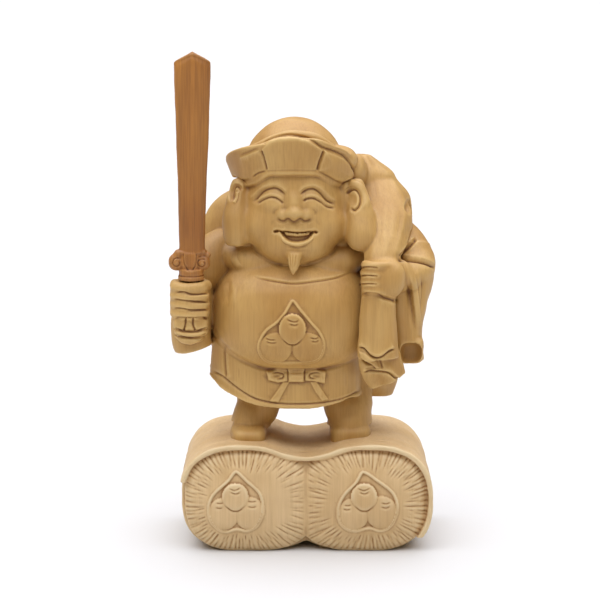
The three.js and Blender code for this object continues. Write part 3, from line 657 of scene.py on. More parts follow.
def addRightHand(bm):
    # Four fingers round the grip, one under another, over the palm
    addLimb(bm, [(-34, -16.6, 39.7, 6.1, 5.6), (-34, -16.6, 51.4, 6, 5.4)], blunt=9)
    for z, thick in ((49.5, 1.9), (46.7, 1.75), (43.9, 1.7), (41.2, 1.7)):
        addLimb(bm, [(-38.6, -14.4, z + 0.2, thick, 1.6), (-38, -19.4, z + 0.1, thick, 1.7),
                     (-34.4, -21.9, z - 0.1, thick, 1.6), (-30.2, -20.6, z + 0.1, thick, 1.7),
                     (-28.9, -16.4, z, thick, 1.5)], across=(0, 0, 1), blunt=7)
    addLimb(bm, [(-28.9, -13.5, 47.6, 1.5, 1.6), (-28.7, -18, 50, 1.5, 1.6),
                 (-30.8, -20.6, 51, 1.2, 1.3)], across=(0, 0, 1))


def addLeftHand(bm):
    # The back of the hand and four short finger ends round the sack's neck
    addBall(bm, (25.9, -18.8, 52.2), (6.3, 6.3, 6.4), 2.3, sides=72, rings=48)
    addLimb(bm, [(24, -20.6, 52.4, 5.9, 3.4), (33.6, -12, 52.2, 5.2, 5)], across=(0, 0, 1))
    for z, x in ((56.7, 19.8), (54, 19.4), (51.4, 19.4), (48.9, 19.8)):
        addLimb(bm, [(x, -19.2, z, 1.45, 1.4), (x + 0.7, -22.6, z, 1.45, 1.6), (x + 3.6, -24, z, 1.45, 1.6),
                     (x + 8, -21.8, z, 1.5, 1.8)], across=(0, 0, 1), blunt=5)


def addPommel(bm):
    # A row of blocks over a curved band and a blunt end
    addBall(bm, (-33.6, -18.2, 37.9), (5.4, 3.5, 2.1), 4)
    addBall(bm, (-33.6, -17.4, 35.2), (5.2, 4.2, 1.3), 3)
    addBall(bm, (-33.8, -16.4, 33.4), (4.2, 4.2, 1.9), 2.4)


def figureForms():
    bm = bmesh.new()
    for add in (addLegs, addSkirt, addTorso, addHead, addNose, addBeard, addEars, addHat, addHatRoll, addSack,
                addSleeves, addRightHand, addLeftHand, addPommel):
        add(bm)
    return bm


def figureHollows():
    # The left cuff's hollow, the socket for the sword's handle and the room round its collar
    bm = bmesh.new()
    addBall(bm, (34.4, -16.2, 27.9), (3.3, 4.6, 3.4), 2.8)
    for low, high, radius in ((41.5, 54.3, 2.5), (51.3, 59.9, 4.2)):
        addPost(bm, sword["x"], sword["y"], low, high, radius, 48)
    return bm


clayGrid = {
    # Grid sizes, rounds of smoothing and the most triangles a piece keeps
    "figure": 0.28, "bales": 0.32, "sword": 0.18,
    "softRounds": 80, "evenRounds": 6,
    "mostTriangles": 196000,
}


def newObject(name, data):
    obj = bpy.data.objects.new(name, data)
    bpy.context.scene.collection.objects.link(obj)
    return obj


def asObject(name, bm):
    bmesh.ops.recalc_face_normals(bm, faces=bm.faces)
    for v in bm.verts:
        v.co = (v.co + Vector(origin)) * mm
    return newObject(name, asMesh(name, bm))


def settle(obj):
    # Applies an object's modifiers to its mesh
    bpy.context.view_layer.update()
    graph = bpy.context.evaluated_depsgraph_get()
    made = bpy.data.meshes.new_from_object(obj.evaluated_get(graph))
    old = obj.data
    obj.modifiers.clear()
    obj.data = made
    bpy.data.meshes.remove(old)
    made.name = obj.name


def remesh(obj, voxel):
    step = obj.modifiers.new("one skin", "REMESH")
    step.mode = "VOXEL"
    step.voxel_size = voxel * mm
    settle(obj)
    print(obj.name, "in one skin:", len(obj.data.vertices), "vertices")


def cutBy(obj, other):
    # Cuts one object by another, which is used up
    step = obj.modifiers.new("cut", "BOOLEAN")
    step.operation = "DIFFERENCE"
    step.object = other
    step.solver = "MANIFOLD"
    settle(obj)
    bpy.data.objects.remove(other)


def joinTo(obj, other):
    # Adds one object's mesh to another's
    bm = bmesh.new()
    bm.from_mesh(obj.data)
    bm.from_mesh(other.data)
    bm.to_mesh(obj.data)
    bm.free()
    bpy.data.objects.remove(other)


# The emblems on the front straw ends, left and right: outline, jewels with their radii, and arcs
baleJewels = {
    -1: {
        "outline": [(-20.3, -53.8), (-23.4, -57.1), (-28, -61.4), (-29.5, -65.7), (-28.7, -70.3),
                    (-25.8, -73.2), (-23.2, -73.9), (-20, -73.1), (-16.8, -73.6), (-13.6, -72.2),
                    (-11.6, -68.9), (-11.2, -65.1), (-12.4, -60.8), (-16.3, -57.1)],
        "jewels": [(-24.3, -67.8, 4.9, 5.2), (-15.9, -67.6, 4.8, 5.2), (-20.5, -62.4, 4.2, 4.4)],
        "arcs": [[(-22.8, -59.3), (-20.7, -60.2), (-18.4, -59.1)],
                 [(-22.5, -60.4), (-20.4, -61.3), (-18.4, -60.5)],
                 [(-26.8, -64.2), (-25.2, -64.4), (-24, -64)], [(-26.9, -65.6), (-25.4, -65.9), (-24.3, -65.6)],
                 [(-16.9, -63.6), (-15.2, -63.9), (-13.4, -63.6)],
                 [(-16.9, -65.3), (-15, -65.6), (-13.4, -65.2)],
                 [(-24.1, -64.6), (-21.9, -66.5), (-20.5, -66.8), (-19.1, -66.5), (-16.9, -64.6)]],
    },
    1: {
        "outline": [(19.9, -53.9), (17.2, -57.6), (13.5, -61.4), (11.6, -65.7), (11.9, -70.1), (14.1, -72.7),
                    (17.5, -73.7), (21.8, -72.8), (25.4, -73.6), (28.6, -72.4), (30.8, -68.9), (31.3, -64.5),
                    (29.7, -60.6), (25.2, -57)],
        "jewels": [(16.9, -67.9, 4.9, 5.2), (25.9, -67.4, 5, 5.3), (20.3, -62.4, 4.2, 4.4)],
        "arcs": [[(17.9, -59.3), (20.2, -60.3), (22.6, -59.2)], [(18.4, -60.4), (20.3, -61.3), (22.3, -60.4)],
                 [(13.8, -64.9), (15.2, -65.1), (16.4, -64.7)], [(13.4, -66.1), (14.9, -66.4), (16.3, -66.1)],
                 [(25.4, -64.1), (27.2, -64.5), (28.9, -63.9)], [(25.4, -65.4), (27.2, -65.8), (28.7, -65.2)],
                 [(16.7, -64.6), (18.9, -66.5), (20.3, -66.8), (21.7, -66.5), (23.9, -64.6)]],
    },
}


def strawCuts(clay, side, front, random):
    # Wedge cuts between the straws of one end
    x, y, z = clay["co"].T
    centreX, centreZ = bale["x"] + side * bale["width"] / 2, bale["z"] + bale["middleZ"]
    ownSide = (x - bale["x"]) * side > -0.3
    face = (-front * y > bale["strawY"]) & ownSide & (np.abs(clay["normal"][:, 1]) > 0.12)
    index = np.nonzero(face)[0]
    dx, dz = x[index] - centreX, z[index] - centreZ
    far = np.hypot(dx, dz)
    angle = np.arctan2(dz, dx)
    reach = strawReach(dx / far, dz / far, dx * side < 0)
    share = far / reach
    move = np.zeros(len(index))
    matZ = bale["z"] + baleOutline(x[index] - bale["x"], bale["mat"], True)
    # None between the bales, past the straw's reach or on the mat
    onStraw = ease(np.abs(x[index] - bale["x"]), 0.2, 1.6) * (1 - ease(share, 0.99, 1.02))
    onStraw = onStraw * (1 - ease(z[index], matZ - 0.7, matZ - 0.2))
    for count, startShare, endShare, width in bale["cuts"]:
        lines = (np.arange(count) + random.uniform(-0.3, 0.3, count)) / count * 2 * math.pi - math.pi
        start = startShare + random.uniform(-0.07, 0.07, count)
        end = endShare + random.uniform(-0.05, 0.05, count)
        deep = bale["cutDepth"] * random.uniform(0.7, 1.15, count)
        for line, a, b, d in zip(lines, start, end, deep):
            off = np.abs((angle - line + math.pi) % (2 * math.pi) - math.pi) * far
            along = ease(share, a, a + 0.16) * (1 - ease(share, b - 0.12, b))
            move -= d * (1 - off / (width / 2)).clip(0) * along
    if front > 0:
        seen = inFront(clay, face)
        picked, inside = insideOf(seen, closedLine(baleJewels[side]["outline"]), 2)
        move[picked] *= 1 - ease(inside, -1.2, -0.3)
    clay["move"][index] += move * onStraw


def chisel(clay, random, height=0.035, waves=9):
    # The faint unevenness that a knife leaves
    for _ in range(waves):
        direction = random.normal(size=3)
        direction /= np.linalg.norm(direction) * random.uniform(5, 13) / (2 * math.pi)
        clay["move"] += height * np.sin(clay["co"] @ direction + random.uniform(0, 6.28))


def recordPaintedLight(mesh):
    # How deep each point lies in a cut (over 0) or how far it stands on an edge: how much painted shade the
    # cuts get and how much painted highlight the edges get in the wood's colour
    clay = readClay(mesh)
    shadeAndHighlight = 0
    for rounds, weight in ((6, 4.5), (45, 0.5)):
        shadeAndHighlight = shadeAndHighlight + ((relaxed(clay, 0.6, rounds) - clay["co"]) * clay["normal"]).sum(axis=1) * weight
    layer = mesh.attributes.new("shadeAndHighlight", "FLOAT", "POINT")
    layer.data.foreach_set("value", shadeAndHighlight.clip(-1, 1).astype(np.float32))


def finishPiece(obj, clay):
    # Writes the carving back and makes the triangles fewer on the plain stretches
    writeClay(obj.data, clay)
    # Records where shade is painted into the cuts and highlight onto the edges
    recordPaintedLight(obj.data)
    count = sum(len(p.vertices) - 2 for p in obj.data.polygons)
    if count > clayGrid["mostTriangles"]:
        step = obj.modifiers.new("fewer", "DECIMATE")
        step.ratio = clayGrid["mostTriangles"] / count
        settle(obj)
    obj.data.shade_smooth()
    obj.data.update()
    print(obj.name, "is carved and has", len(obj.data.polygons), "faces")


def carveBales():
    bales = asObject("carvedBales", baleForms())
    whole, cuts = matPieces()
    mat = asObject("strawMat", whole)
    for room in cuts:
        cutBy(mat, asObject("matRoom", room))
    joinTo(bales, mat)
    remesh(bales, clayGrid["bales"])
    clay = readClay(bales.data)
    base = clay["co"][:, 2] < bale["z"] + 0.6
    clay["co"] = np.where(base[:, None], clay["co"], relaxed(clay, 0.45, 6))
    random = np.random.default_rng(7)
    for side in (-1, 1):
        for front in (1, -1):
            strawCuts(clay, side, front, random)
    front = inFront(clay, (clay["co"][:, 1] < -14) & (clay["co"][:, 2] < 1))
    for side, emblem in baleJewels.items():
        jewelEmblem(front, emblem)
    groove(front, [(-36.6, -54.2), (-31.2, -47.9), (-26.6, -45.6), (-21.2, -44.8), (-13.9, -44.8), (-9, -46.4),
                   (-1.9, -48.2), (3, -47.2), (9.1, -44.4), (16.1, -43.3), (25.6, -44.3), (32.2, -47),
                   (37.9, -52), (40.6, -57.3)], 1.6, 0.3)
    chisel(clay, random)
    clay["move"][base] = 0
    press(clay, front)
    finishPiece(bales, clay)
    return bales


# Strokes on the figure, drawn in the picture's millimetres from its middle
def carveFace(clay):
    x, y, z = clay["co"].T
    view = inFront(clay, (np.abs(x - figureShape["faceX"]) < 17.5) & (y < -8) & (z > 46) & (z < 86))
    # Brows and laughing eyes
    for line in ([(-15.3, 31), (-13.4, 33.1), (-11.6, 34.7), (-9.1, 35.6), (-6.9, 35.3), (-4.3, 33.2)],
                 [(-0.5, 33.2), (2, 35), (4.4, 35.4), (6.6, 34.1), (8.8, 31.8), (11.8, 30.3)]):
        ledge(view, line, 0.45, 3.6)
        groove(view, line, 1.8, 0.6, ends=0.14)
        groove(view, [(s, t - 0.6) for s, t in line], 3, 0.45, ends=0.2)
        mound(view, ((line[2][0] + line[3][0]) / 2, 33), (5, 2.2), 0.2)
    for line in ([(-13.7, 30.4), (-11.6, 31.8), (-9.1, 32.6), (-6.9, 32), (-5, 30.3)],
                 [(0.5, 31), (2.4, 32.1), (4.4, 32.2), (6.5, 31.1), (8.7, 29.6), (11.3, 29.1)]):
        above = [(s, t + 0.7) for s, t in line]
        ridge(view, above, 1.6, 0.22)
        groove(view, line, 1.3, 0.65, ends=0.12)
    for centre in ((-9.2, 29.8), (4.3, 29.6)):
        mound(view, centre, (4.8, 2.6), 0.35)
    # The nose, its nostrils, the folds beside it and the mouth
    ridge(view, [(-1.7, 35.5), (-1.6, 32.5), (-1.6, 28)], 6.4, 0.35, ends=0.4)
    mound(view, (-1.7, 27.2), (3.4, 3), 0.35)
    for s in (-5.3, 2):
        mound(view, (s, 27.1), (2.7, 2.3), 0.6)
    for line in ([(-8.1, 26.4), (-8.2, 28), (-6.6, 29.4)], [(4.8, 26.4), (4.9, 28), (3.3, 29.4)]):
        groove(view, line, 1.8, 0.25, ends=0.4)
    groove(view, [(-7.4, 26.4), (-6.4, 25.2), (-5, 25), (-3.9, 25.6), (-1.9, 24.6), (0.2, 25.6), (1.4, 25),
                  (2.8, 25.2), (3.8, 26.4)], 1.9, 0.65, ends=0.12)
    for line in ([(-7.4, 26.2), (-8.8, 24.4), (-9.4, 22.3)], [(4.2, 26.2), (5.8, 24.4), (6.7, 22.1)]):
        groove(view, line, 2.8, 0.22, ends=0.5)
    opening = drawn([(-6.4, 21.7), (-5, 21.9), (-3, 21.7), (-0.9, 21.5), (1.4, 21.6), (3.2, 21.8), (4.4, 21.5),
                     (3.6, 20), (2, 18.8), (-0.8, 18.3), (-3.4, 18.7), (-5.3, 20.2), (-6.4, 21.6)])[:-1]
    plate(view, opening, -1.9, edge=0.6)
    plate(view, [(-5.2, 21.7), (-3, 21.4), (-0.9, 21.2), (1.4, 21.3), (3.5, 21.6), (3, 20.7), (-0.9, 20.2),
                 (-4.6, 20.6)], 1.15, edge=0.35)
    for s in (-3.6, -2.2, -0.8, 0.6, 2):
        groove(view, [(s, 21.8), (s, 20.2)], 0.5, 0.25, ends=0)
    for line in ([(-8.5, 21.3), (-7.4, 21.9), (-5.8, 21.7)], [(3.9, 21.7), (5, 21.6), (5.7, 21)]):
        groove(view, line, 1.2, 0.8, ends=0.15)
    ridge(view, [(-6.2, 22.7), (-4.4, 23.1), (-2.6, 22.9), (-1.1, 22.5), (0.3, 22.9), (2, 23.1), (4, 22.6)],
          1.6, 0.16, ends=0.3)
    ridge(view, [(-6, 20), (-4.7, 18.6), (-3, 17.9), (-0.8, 17.5), (1.4, 18), (3.2, 19), (4.4, 20.4)],
          1, 0.5)
    groove(view, [(-4.6, 17.4), (-3, 16.8), (-0.8, 16.5), (1.4, 16.9), (3.2, 17.8)], 1.1, 0.3, ends=0.3)
    mound(view, (-0.9, 15.6), (4.4, 1.1), -0.3)
    for centre in ((-7.5, 21.6), (4.8, 21.3)):
        mound(view, centre, (1.1, 0.7), -0.7)
    # The edge of the chin over the robe
    for line in ([(-15, 16.6), (-13, 14.5), (-9.5, 12.3), (-4.6, 10.6)],
                 [(1.2, 11), (5.8, 12.3), (9.4, 14.1), (12.3, 16.7)]):
        groove(view, line, 2, 0.5, ends=0.18)
    for line in ([(-3.4, 15.2), (-2.7, 9.4)], [(-2.3, 15.6), (-2.3, 8.6)], [(-1.1, 15.2), (-1.9, 9.4)]):
        groove(view, line, 0.6, 0.22, ends=0.35)
    return view


def carveHat(clay):
    x, y, z = clay["co"].T
    view = inFront(clay, (z > 74) & (y < 0) & (np.abs(x + 2) < 24))
    centre = [(-12, 47.8), (-9.5, 50.2), (-6.6, 51.2), (-3.6, 51.5), (-0.7, 51.3), (2.2, 50.5), (4.7, 49.2),
              (7.1, 47.5), (5.2, 41.1), (-2.6, 41.2), (-10.2, 41.1)]
    right = [(7.8, 47.3), (10.9, 46.2), (13.5, 45), (15.6, 42.8), (16.8, 40.4), (16.6, 38), (12.8, 37.2),
             (9.2, 39.3), (5.9, 40.9)]
    plate(view, centre, 0.35, edge=0.6, crown=0.3)
    groove(view, [(-12.4, 48.7), (-9.5, 51), (-6.6, 51.9), (-3.6, 52.3), (-0.7, 52), (2.2, 51.3), (4.7, 50),
                  (7.3, 48.3), (10.9, 47.1), (13.9, 45.6), (16.1, 43), (17.3, 39)], 1.3, 0.5, ends=0.05)
    plate(view, right, 0.45, edge=0.7, crown=0.8)
    for line in ([(-12.3, 47.6), (-11.3, 44.6), (-10.4, 41)], [(7.5, 47.4), (6.4, 44.6), (5.4, 40.9)]):
        groove(view, line, 1.2, 0.6, ends=0.12)
    # The left panel, which runs over into the cloth beside it
    edge = [(-12.6, 47.6), (-14.6, 46.8), (-16.8, 45.9), (-19.4, 45)]
    ledge(view, edge, 0.35, 3)
    groove(view, [(s, t + 0.8) for s, t in edge], 1.4, 0.3)
    groove(view, [(-15.5, 38.6), (-13.2, 40.1), (-10.6, 40.9)], 1, 0.4)
    for line in ([(-5.4, 50.4), (-5, 46), (-4.7, 42)], [(-2.8, 50.8), (-2.6, 46), (-2.6, 42)],
                 [(0, 50.6), (-0.2, 46), (-0.5, 42)]):
        groove(view, line, 0.9, 0.08, ends=0.3)
    return view


def carveEars(clay):
    x, y, z = clay["co"].T
    view = inFront(clay, (np.abs(x + 0.7) > 13) & (np.abs(x) < 25) & (z > 52) & (z < 92) & (y < -4))
    groove(view, [(-21.4, 31), (-21.5, 34.2), (-20.6, 36), (-19.2, 35.8), (-18.5, 34)], 1.7, 1)
    mound(view, (-20.4, 33.4), (1.5, 3.2), -0.7)
    ridge(view, [(-19.9, 34.6), (-20.2, 32.4), (-20.9, 30.6)], 1.1, 0.5)
    ridge(view, [(-22.9, 30), (-22.9, 34.4), (-21.2, 37.4), (-18.8, 37.4), (-17, 35.4)], 1.8, 0.4)
    groove(view, [(14.6, 33.2), (16, 34.9), (17.9, 34.8), (19.2, 32.7), (18.8, 30), (17.2, 28.5), (15.7, 29.4)],
           1.5, 0.9, ends=0.1)
    mound(view, (16.9, 31.8), (2, 3), -0.5)
    ridge(view, [(12.9, 34.8), (15, 36.6), (17.6, 36.8), (20, 35), (21.1, 31.6), (20.4, 28.6)], 1.8, 0.4)
    return view


bellyEmblem = {
    "outline": [(-2.4, 0.3), (-5.2, -3.7), (-7.7, -6.6), (-11.3, -9.4), (-13.2, -12.7), (-13.6, -15.6),
                (-12.2, -18.6), (-8.9, -20.3), (-3, -20.4), (3.3, -20.2), (6.8, -18.6), (8.2, -14.4),
                (6.9, -10.3), (3.8, -6.6), (1, -3.3)],
    "jewels": [(-7.7, -15.2, 5.2, 4.8), (2.6, -15.2, 5.2, 4.8), (-2.4, -9.2, 4.3, 4.9)],
    "arcs": [[(-4.5, -5.6), (-3.2, -6.5), (-1.3, -6.8), (0, -5.9)], [(-3.8, -7.4), (-1.6, -7.9), (-0.2, -7.3)],
             [(-11.3, -11.9), (-9.3, -12.6), (-7.4, -12.5)], [(-11, -13), (-9, -13.6), (-7, -13.3)],
             [(2.9, -11.8), (5, -12.2), (6.1, -11.4)], [(3.3, -12.9), (5.1, -13.1), (6.2, -12.4)],
             [(-6.1, -11.7), (-3.9, -13.8), (-2.4, -14.1), (-0.9, -13.8), (1.3, -11.7)]],
}


def carveBody(clay):
    x, y, z = clay["co"].T
    view = inFront(clay, (x > -30) & (x < 22) & (y < -7) & (z > 5) & (z < 62))
    # The belly's lower edge over the skirt
    edge = [(-28.2, -3), (-27.4, -8), (-26.4, -10.8), (-24.4, -13.8), (-20.3, -17.3), (-15.5, -19.9),
            (-10.7, -21.4), (-1.4, -22.2), (6.7, -21.5), (12.8, -20), (16.6, -17.8)]
    groove(view, [(s, t - 0.5) for s, t in edge], 2.2, 0.6, ends=0.15)
    jewelEmblem(view, bellyEmblem)
    neckline = [(-15.5, 8.4), (-13.5, 7.1), (-8.7, 6.1), (-1.8, 5.2), (4.4, 5.8), (11.3, 7.1), (17.4, 9.4)]
    ledge(view, neckline, 0.35, 3)
    groove(view, neckline, 1, 0.45, ends=0.2)
    # Soft folds of the robe at the right shoulder
    ridge(view, [(-21.4, 14.6), (-20.4, 12), (-18.6, 9.4)], 2.2, 0.4, ends=0.4)
    groove(view, [(-24, 9.4), (-22.4, 3.6), (-22.6, -3)], 3, 0.35, ends=0.4)
    ridge(view, [(-20.4, 6), (-21.4, 2.2), (-21.2, -2.6)], 2.6, 0.25, ends=0.4)
    # The raised hem and the side folds of the skirt
    groove(view, [(-27.8, -22.2), (-25.4, -23.6), (-23.5, -24.9), (-19.4, -28.2), (-14.6, -31), (-9.7, -32.3),
                  (-3.2, -32.9), (5, -32.7), (11.1, -31.8), (15.4, -30.4), (19.2, -28.4)], 1.1, 0.5, ends=0.04)
    fold = [(-23.9, -14.6), (-23.6, -20), (-23.1, -25.2)]
    groove(view, fold, 1.6, 0.6, ends=0.2)
    ledge(view, fold, 0.5, 4)
    groove(view, [(-19.4, -20.4), (-19.2, -26)], 1.2, 0.15, ends=0.4)
    groove(view, [(14.6, -21.4), (14.8, -29)], 1.2, 0.2, ends=0.4)
    # The sash's bow
    plate(view, [(-10.6, -22.6), (-7, -22.1), (-4, -22.3), (-3.9, -25.6), (-7, -26), (-9.9, -25.3)],
          0.8, edge=0.6)
    plate(view, [(1.6, -22.3), (5, -22.1), (8.1, -22.6), (7.8, -26.3), (4.5, -25.6), (1.6, -25.4)],
          0.8, edge=0.6)
    plate(view, [(-3.7, -22.1), (1.3, -22.1), (1.2, -25.8), (-3.6, -25.8)], 1.1, edge=0.6, crown=0.4)
    for line in ([(-9.2, -23.2), (-7.2, -23), (-5.3, -23.5), (-5.6, -24.6), (-7.6, -24.8)],
                 [(7, -23.3), (5, -23), (3.1, -23.5), (3.4, -24.6), (5.4, -24.8)]):
        groove(view, line, 1, 0.6, ends=0.2)
    for s in (-7.2, 5):
        mound(view, (s, -23.9), (1.7, 0.9), -0.5)
    plate(view, [(-5.4, -25.9), (-3.5, -26), (-6.9, -32.4), (-9.6, -32), (-7.4, -29)], 0.45, edge=0.5)
    plate(view, [(3.3, -25.9), (5.2, -25.8), (8.9, -31.4), (7, -31.9), (5, -29.2)], 0.45, edge=0.5)
    return view


def carveSack(clay):
    x, y, z = clay["co"].T
    view = inFront(clay, (x > 15) & (z > 12) & (z < 92) & (y < 8))
    # Faint pleats below the hand
    for line in ([(24.9, 26.4), (25, 22), (24.8, 17)], [(28.2, 33), (28.2, 24), (27.4, 15.6)],
                 [(31.9, 31), (31.4, 23), (29.6, 15.8)], [(34.6, 26.6), (33.4, 21), (31.2, 15.6)],
                 [(22.8, 41), (24, 35), (24.2, 29.6)], [(27.6, 40), (29, 35.5), (29.4, 33)]):
        groove(view, line, 2.4, 0.22, ends=0.5)
    ridge(view, [(24.9, 27), (25.2, 22.6), (25, 18.6)], 1.2, 0.2, ends=0.4)
    mound(view, (34.6, 29.6), (1.8, 3), -1.6)
    # The cloth over the arm and the folds of the sleeve
    lines = (([(30.6, 12.6), (33, 12.9), (37.2, 12.4), (40.6, 11.4), (43.4, 10)], 0.9),
             ([(31.2, 13.4), (33.7, 16.2), (37, 19.6)], 0.5))
    for line, height in lines:
        ledge(view, line, height, 4.5, ends=0.2)
        groove(view, line, 1.8, 1.1, ends=0.14)
    groove(view, [(33.4, 9.6), (34.6, 2), (35.6, -5), (36.4, -10.5)], 2.2, 0.6, ends=0.3)
    groove(view, [(38.6, 9), (39, 2), (38.3, -5)], 1.8, 0.7, ends=0.3)
    ridge(view, [(35.2, 9.4), (36.4, 3), (37.1, -4), (37.8, -11)], 1.9, 0.6, ends=0.25)
    # The left hand
    for line in ([(18.8, 10.2), (22, 10.4), (25, 10.1)], [(18.6, 7.6), (22, 7.7), (24.9, 7.4)],
                 [(18.6, 4.9), (22, 5.1), (24.7, 4.9)]):
        groove(view, line, 1, 0.6, ends=0.15)
    groove(view, [(19, 1.9), (23.3, 1.7), (27, 0.6), (31.4, -0.6)], 1.8, 0.8, ends=0.15)
    # The ruffled mouth of the sack
    lip = [(18.4, -14.8), (20.3, -15.2), (22.1, -17.2), (24.1, -18.2), (26.1, -17.7), (28.2, -16.1),
           (30.3, -15.3)]
    ledge(view, lip, 0.8, 4.5, ends=0.08)
    groove(view, lip, 1.2, 0.9, ends=0.1)
    plate(view, [(18.9, -16), (20.6, -16.8), (22.4, -18.4), (24.2, -19.4), (25, -21.4), (23.4, -21.6),
                 (21.4, -19.6), (19.4, -18.2)], 0.5, edge=0.6)
    inner = [(18.9, -18.2), (21, -20), (22.6, -20.6), (24.4, -22.2)]
    groove(view, inner, 1.2, 0.9, ends=0.2)
    mound(view, (22.4, -21.8), (2.2, 0.9), -0.8)
    fold = [(19.6, -23.2), (21.5, -22.5), (24.9, -22.6), (28, -23), (30.4, -24.6), (32.8, -25.3)]
    groove(view, fold, 1.1, 0.9, ends=0.15)
    ledge(view, fold, 0.5, 3)
    groove(view, [(25.2, -18.6), (25.7, -20.4), (26.2, -22)], 1.2, 0.5)
    return view


def carveFist(clay):
    x, y, z = clay["co"].T
    view = inFront(clay, (x < -26) & (z > 26) & (z < 60) & (y < -8))
    for line in ([(-39.4, 2.5), (-36.7, 2.4), (-34.6, 1.8), (-32.2, 1.8), (-28.6, 2.2)],
                 [(-40.2, 0.3), (-37.7, -0.1), (-34.2, -0.5), (-31.7, -0.6), (-28.6, -0.7)],
                 [(-40.2, -2.6), (-37.2, -2.8), (-34.2, -3.3), (-28.8, -3.1)]):
        groove(view, line, 1, 0.6, ends=0.12)
    groove(view, [(-39.8, -5.7), (-36, -5.8), (-28.6, -5.8)], 1.2, 0.7, ends=0.1)
    # The pommel's three blocks, the band and the point below
    for line in ([(-36.2, -6), (-36.3, -7.8), (-36.8, -9.8)], [(-33.7, -6), (-33.9, -7.8), (-33.2, -9.8)]):
        groove(view, line, 1, 0.8, ends=0.02)
    groove(view, [(-40, -9), (-37, -9.9), (-33, -10), (-28.8, -8.8)], 1.1, 0.7, ends=0.04)
    ridge(view, [(-39.8, -10), (-36.9, -10.9), (-33, -11), (-29.2, -9.8)], 1, 0.3)
    groove(view, [(-39.6, -10.9), (-36, -11.9), (-32.6, -11.9), (-29.4, -10.6)], 0.9, 0.5, ends=0.04)
    plate(view, [(-39.6, -11.6), (-37.4, -13.4), (-34.6, -14.2), (-31.8, -12.8), (-30.4, -11.2),
                 (-34.6, -12.2)], 0.4, edge=0.5)
    return view


def carveBack(clay):
    # The sack's folds behind, plainer than the front
    y, z = clay["co"].T[1:]
    view = squareOn(clay, (y > 6) & (z > 8) & (z < 96), (-1, 0, 0), (0, 0, 1))
    for top, low, bend in (((-20, 82), (-31, 56), -2), ((-14, 84), (-19, 50), -1), ((-6, 82), (-6, 46), 0),
                           ((2, 79), (8, 50), 1.5), ((9, 76), (19, 54), 2), ((-1, 34), (-4, 20), 1),
                           ((-14, 34), (-16, 20), -1), ((14, 40), (12, 26), 1)):
        middle = ((top[0] + low[0]) / 2 + bend, (top[1] + low[1]) / 2)
        groove(view, [top, middle, low], 3.2, 0.8, ends=0.45)
    for line in ([(-17, 92), (-16, 84), (-18, 78)], [(13, 88), (12, 82), (15, 76)]):
        groove(view, line, 2, 0.4, ends=0.4)
    return view


def softenJoins(clay):
    # Runs the forms into one another, most on the face, and leaves the nose, the beard and the fingers crisper
    x, y, z = clay["co"].T
    fromMiddle = np.abs(x - figureShape["faceX"])
    bandZ = bandFoot(np.arcsin(((figureShape["hat"][1] - y) / figureShape["hatDeep"]).clip(0, 1)))
    onFace = ease(y, -8, -12) * ease(z, 54, 57) * ease(z, bandZ - 0.4, bandZ - 2.4) * ease(fromMiddle, 17, 14.5)
    byNose = np.exp(-((fromMiddle / 6.4) ** 2 + ((z - 73) / 4.6) ** 2) ** 2)
    byBeard = np.exp(-((fromMiddle / 4.4) ** 2 + ((z - 57) / 5.5) ** 2) ** 2)
    onHand = ease(x, 19, 22) * ease(x, 33, 31) * ease(y, -16, -19) * ease(z, 44, 46) * ease(z, 61, 59)
    onBelly = ease(y, -6, -10) * ease(z, 26, 30) * ease(z, 56, 52) * ease(np.abs(x + 2.6), 24, 20)
    onSack = ease(x, 20, 24) * ease(z, 64, 70) * ease(y, 4, 0)
    smooth = np.maximum(onFace * (1 - 0.88 * byNose) * (1 - byBeard), 0.12 * onHand)
    strength = 0.7 * np.maximum(smooth, 0.5 * np.maximum(onBelly, onSack))
    clay["co"] = relaxed(clay, strength, clayGrid["softRounds"])
    clay["co"] = relaxed(clay, 0.45, clayGrid["evenRounds"])


def carveFigure():
    figure = asObject("carvedFigure", figureForms())
    print("figure's forms joined:", len(figure.data.vertices), "vertices")
    remesh(figure, clayGrid["figure"])
    cutBy(figure, asObject("hollows", figureHollows()))
    remesh(figure, clayGrid["figure"])
    clay = readClay(figure.data)
    softenJoins(clay)
    writeClay(figure.data, clay)
    print("joins softened")
    clay = readClay(figure.data)
    chisel(clay, np.random.default_rng(11))
    carvings = (carveFace, carveHat, carveEars, carveBody, carveSack, carveFist, carveBack)
    press(clay, *[carve(clay) for carve in carvings])
    finishPiece(figure, clay)
    return figure


# The sword: a flat blade that widens to a roofed tip, a guard of scrolls and a collar in the fist
sword = {
    "x": -33.3, "y": known["gripY"],
    # How far the blade's foot, its tip and the guard stand to the right of the handle
    "footShift": 0.3, "shift": 0.9, "guardShift": -0.5,
    "guard": 54.6, "foot": 60.2, "shoulder": 117.9, "tip": 121.2, "socket": 42.3,
    # Half-width and half-depth from the foot up
    "widths": [(3.9, 1.6), (4.1, 1.7), (4.45, 1.7), (4.9, 1.7), (5.3, 1.65), (5.6, 1.5)],
}


def addBlade(bm):
    def wall(angle, share):
        wide, deep = smoothLine(sword["widths"], share).T
        c, s = np.cos(angle), np.sin(angle)
        x = wide * np.sign(c) * np.abs(c) ** 0.72
        bevel = 1 - 0.45 * ease(share, 0.955, 1)
        y = -deep * bevel * np.sign(s) * np.abs(s) ** 0.8 * (1 + 0.1 * (1 - np.abs(c)))
        top = sword["tip"] - (sword["tip"] - sword["shoulder"]) * np.abs(x) / wide
        z = sword["foot"] - 1 + (top - sword["foot"] + 1) * share
        lean = sword["footShift"] + (sword["shift"] - sword["footShift"]) * share
        return np.stack([sword["x"] + lean + x, sword["y"] + y, z], axis=1)

    addWall(bm, wall, sides=120, steps=60, peak=sword["tip"])


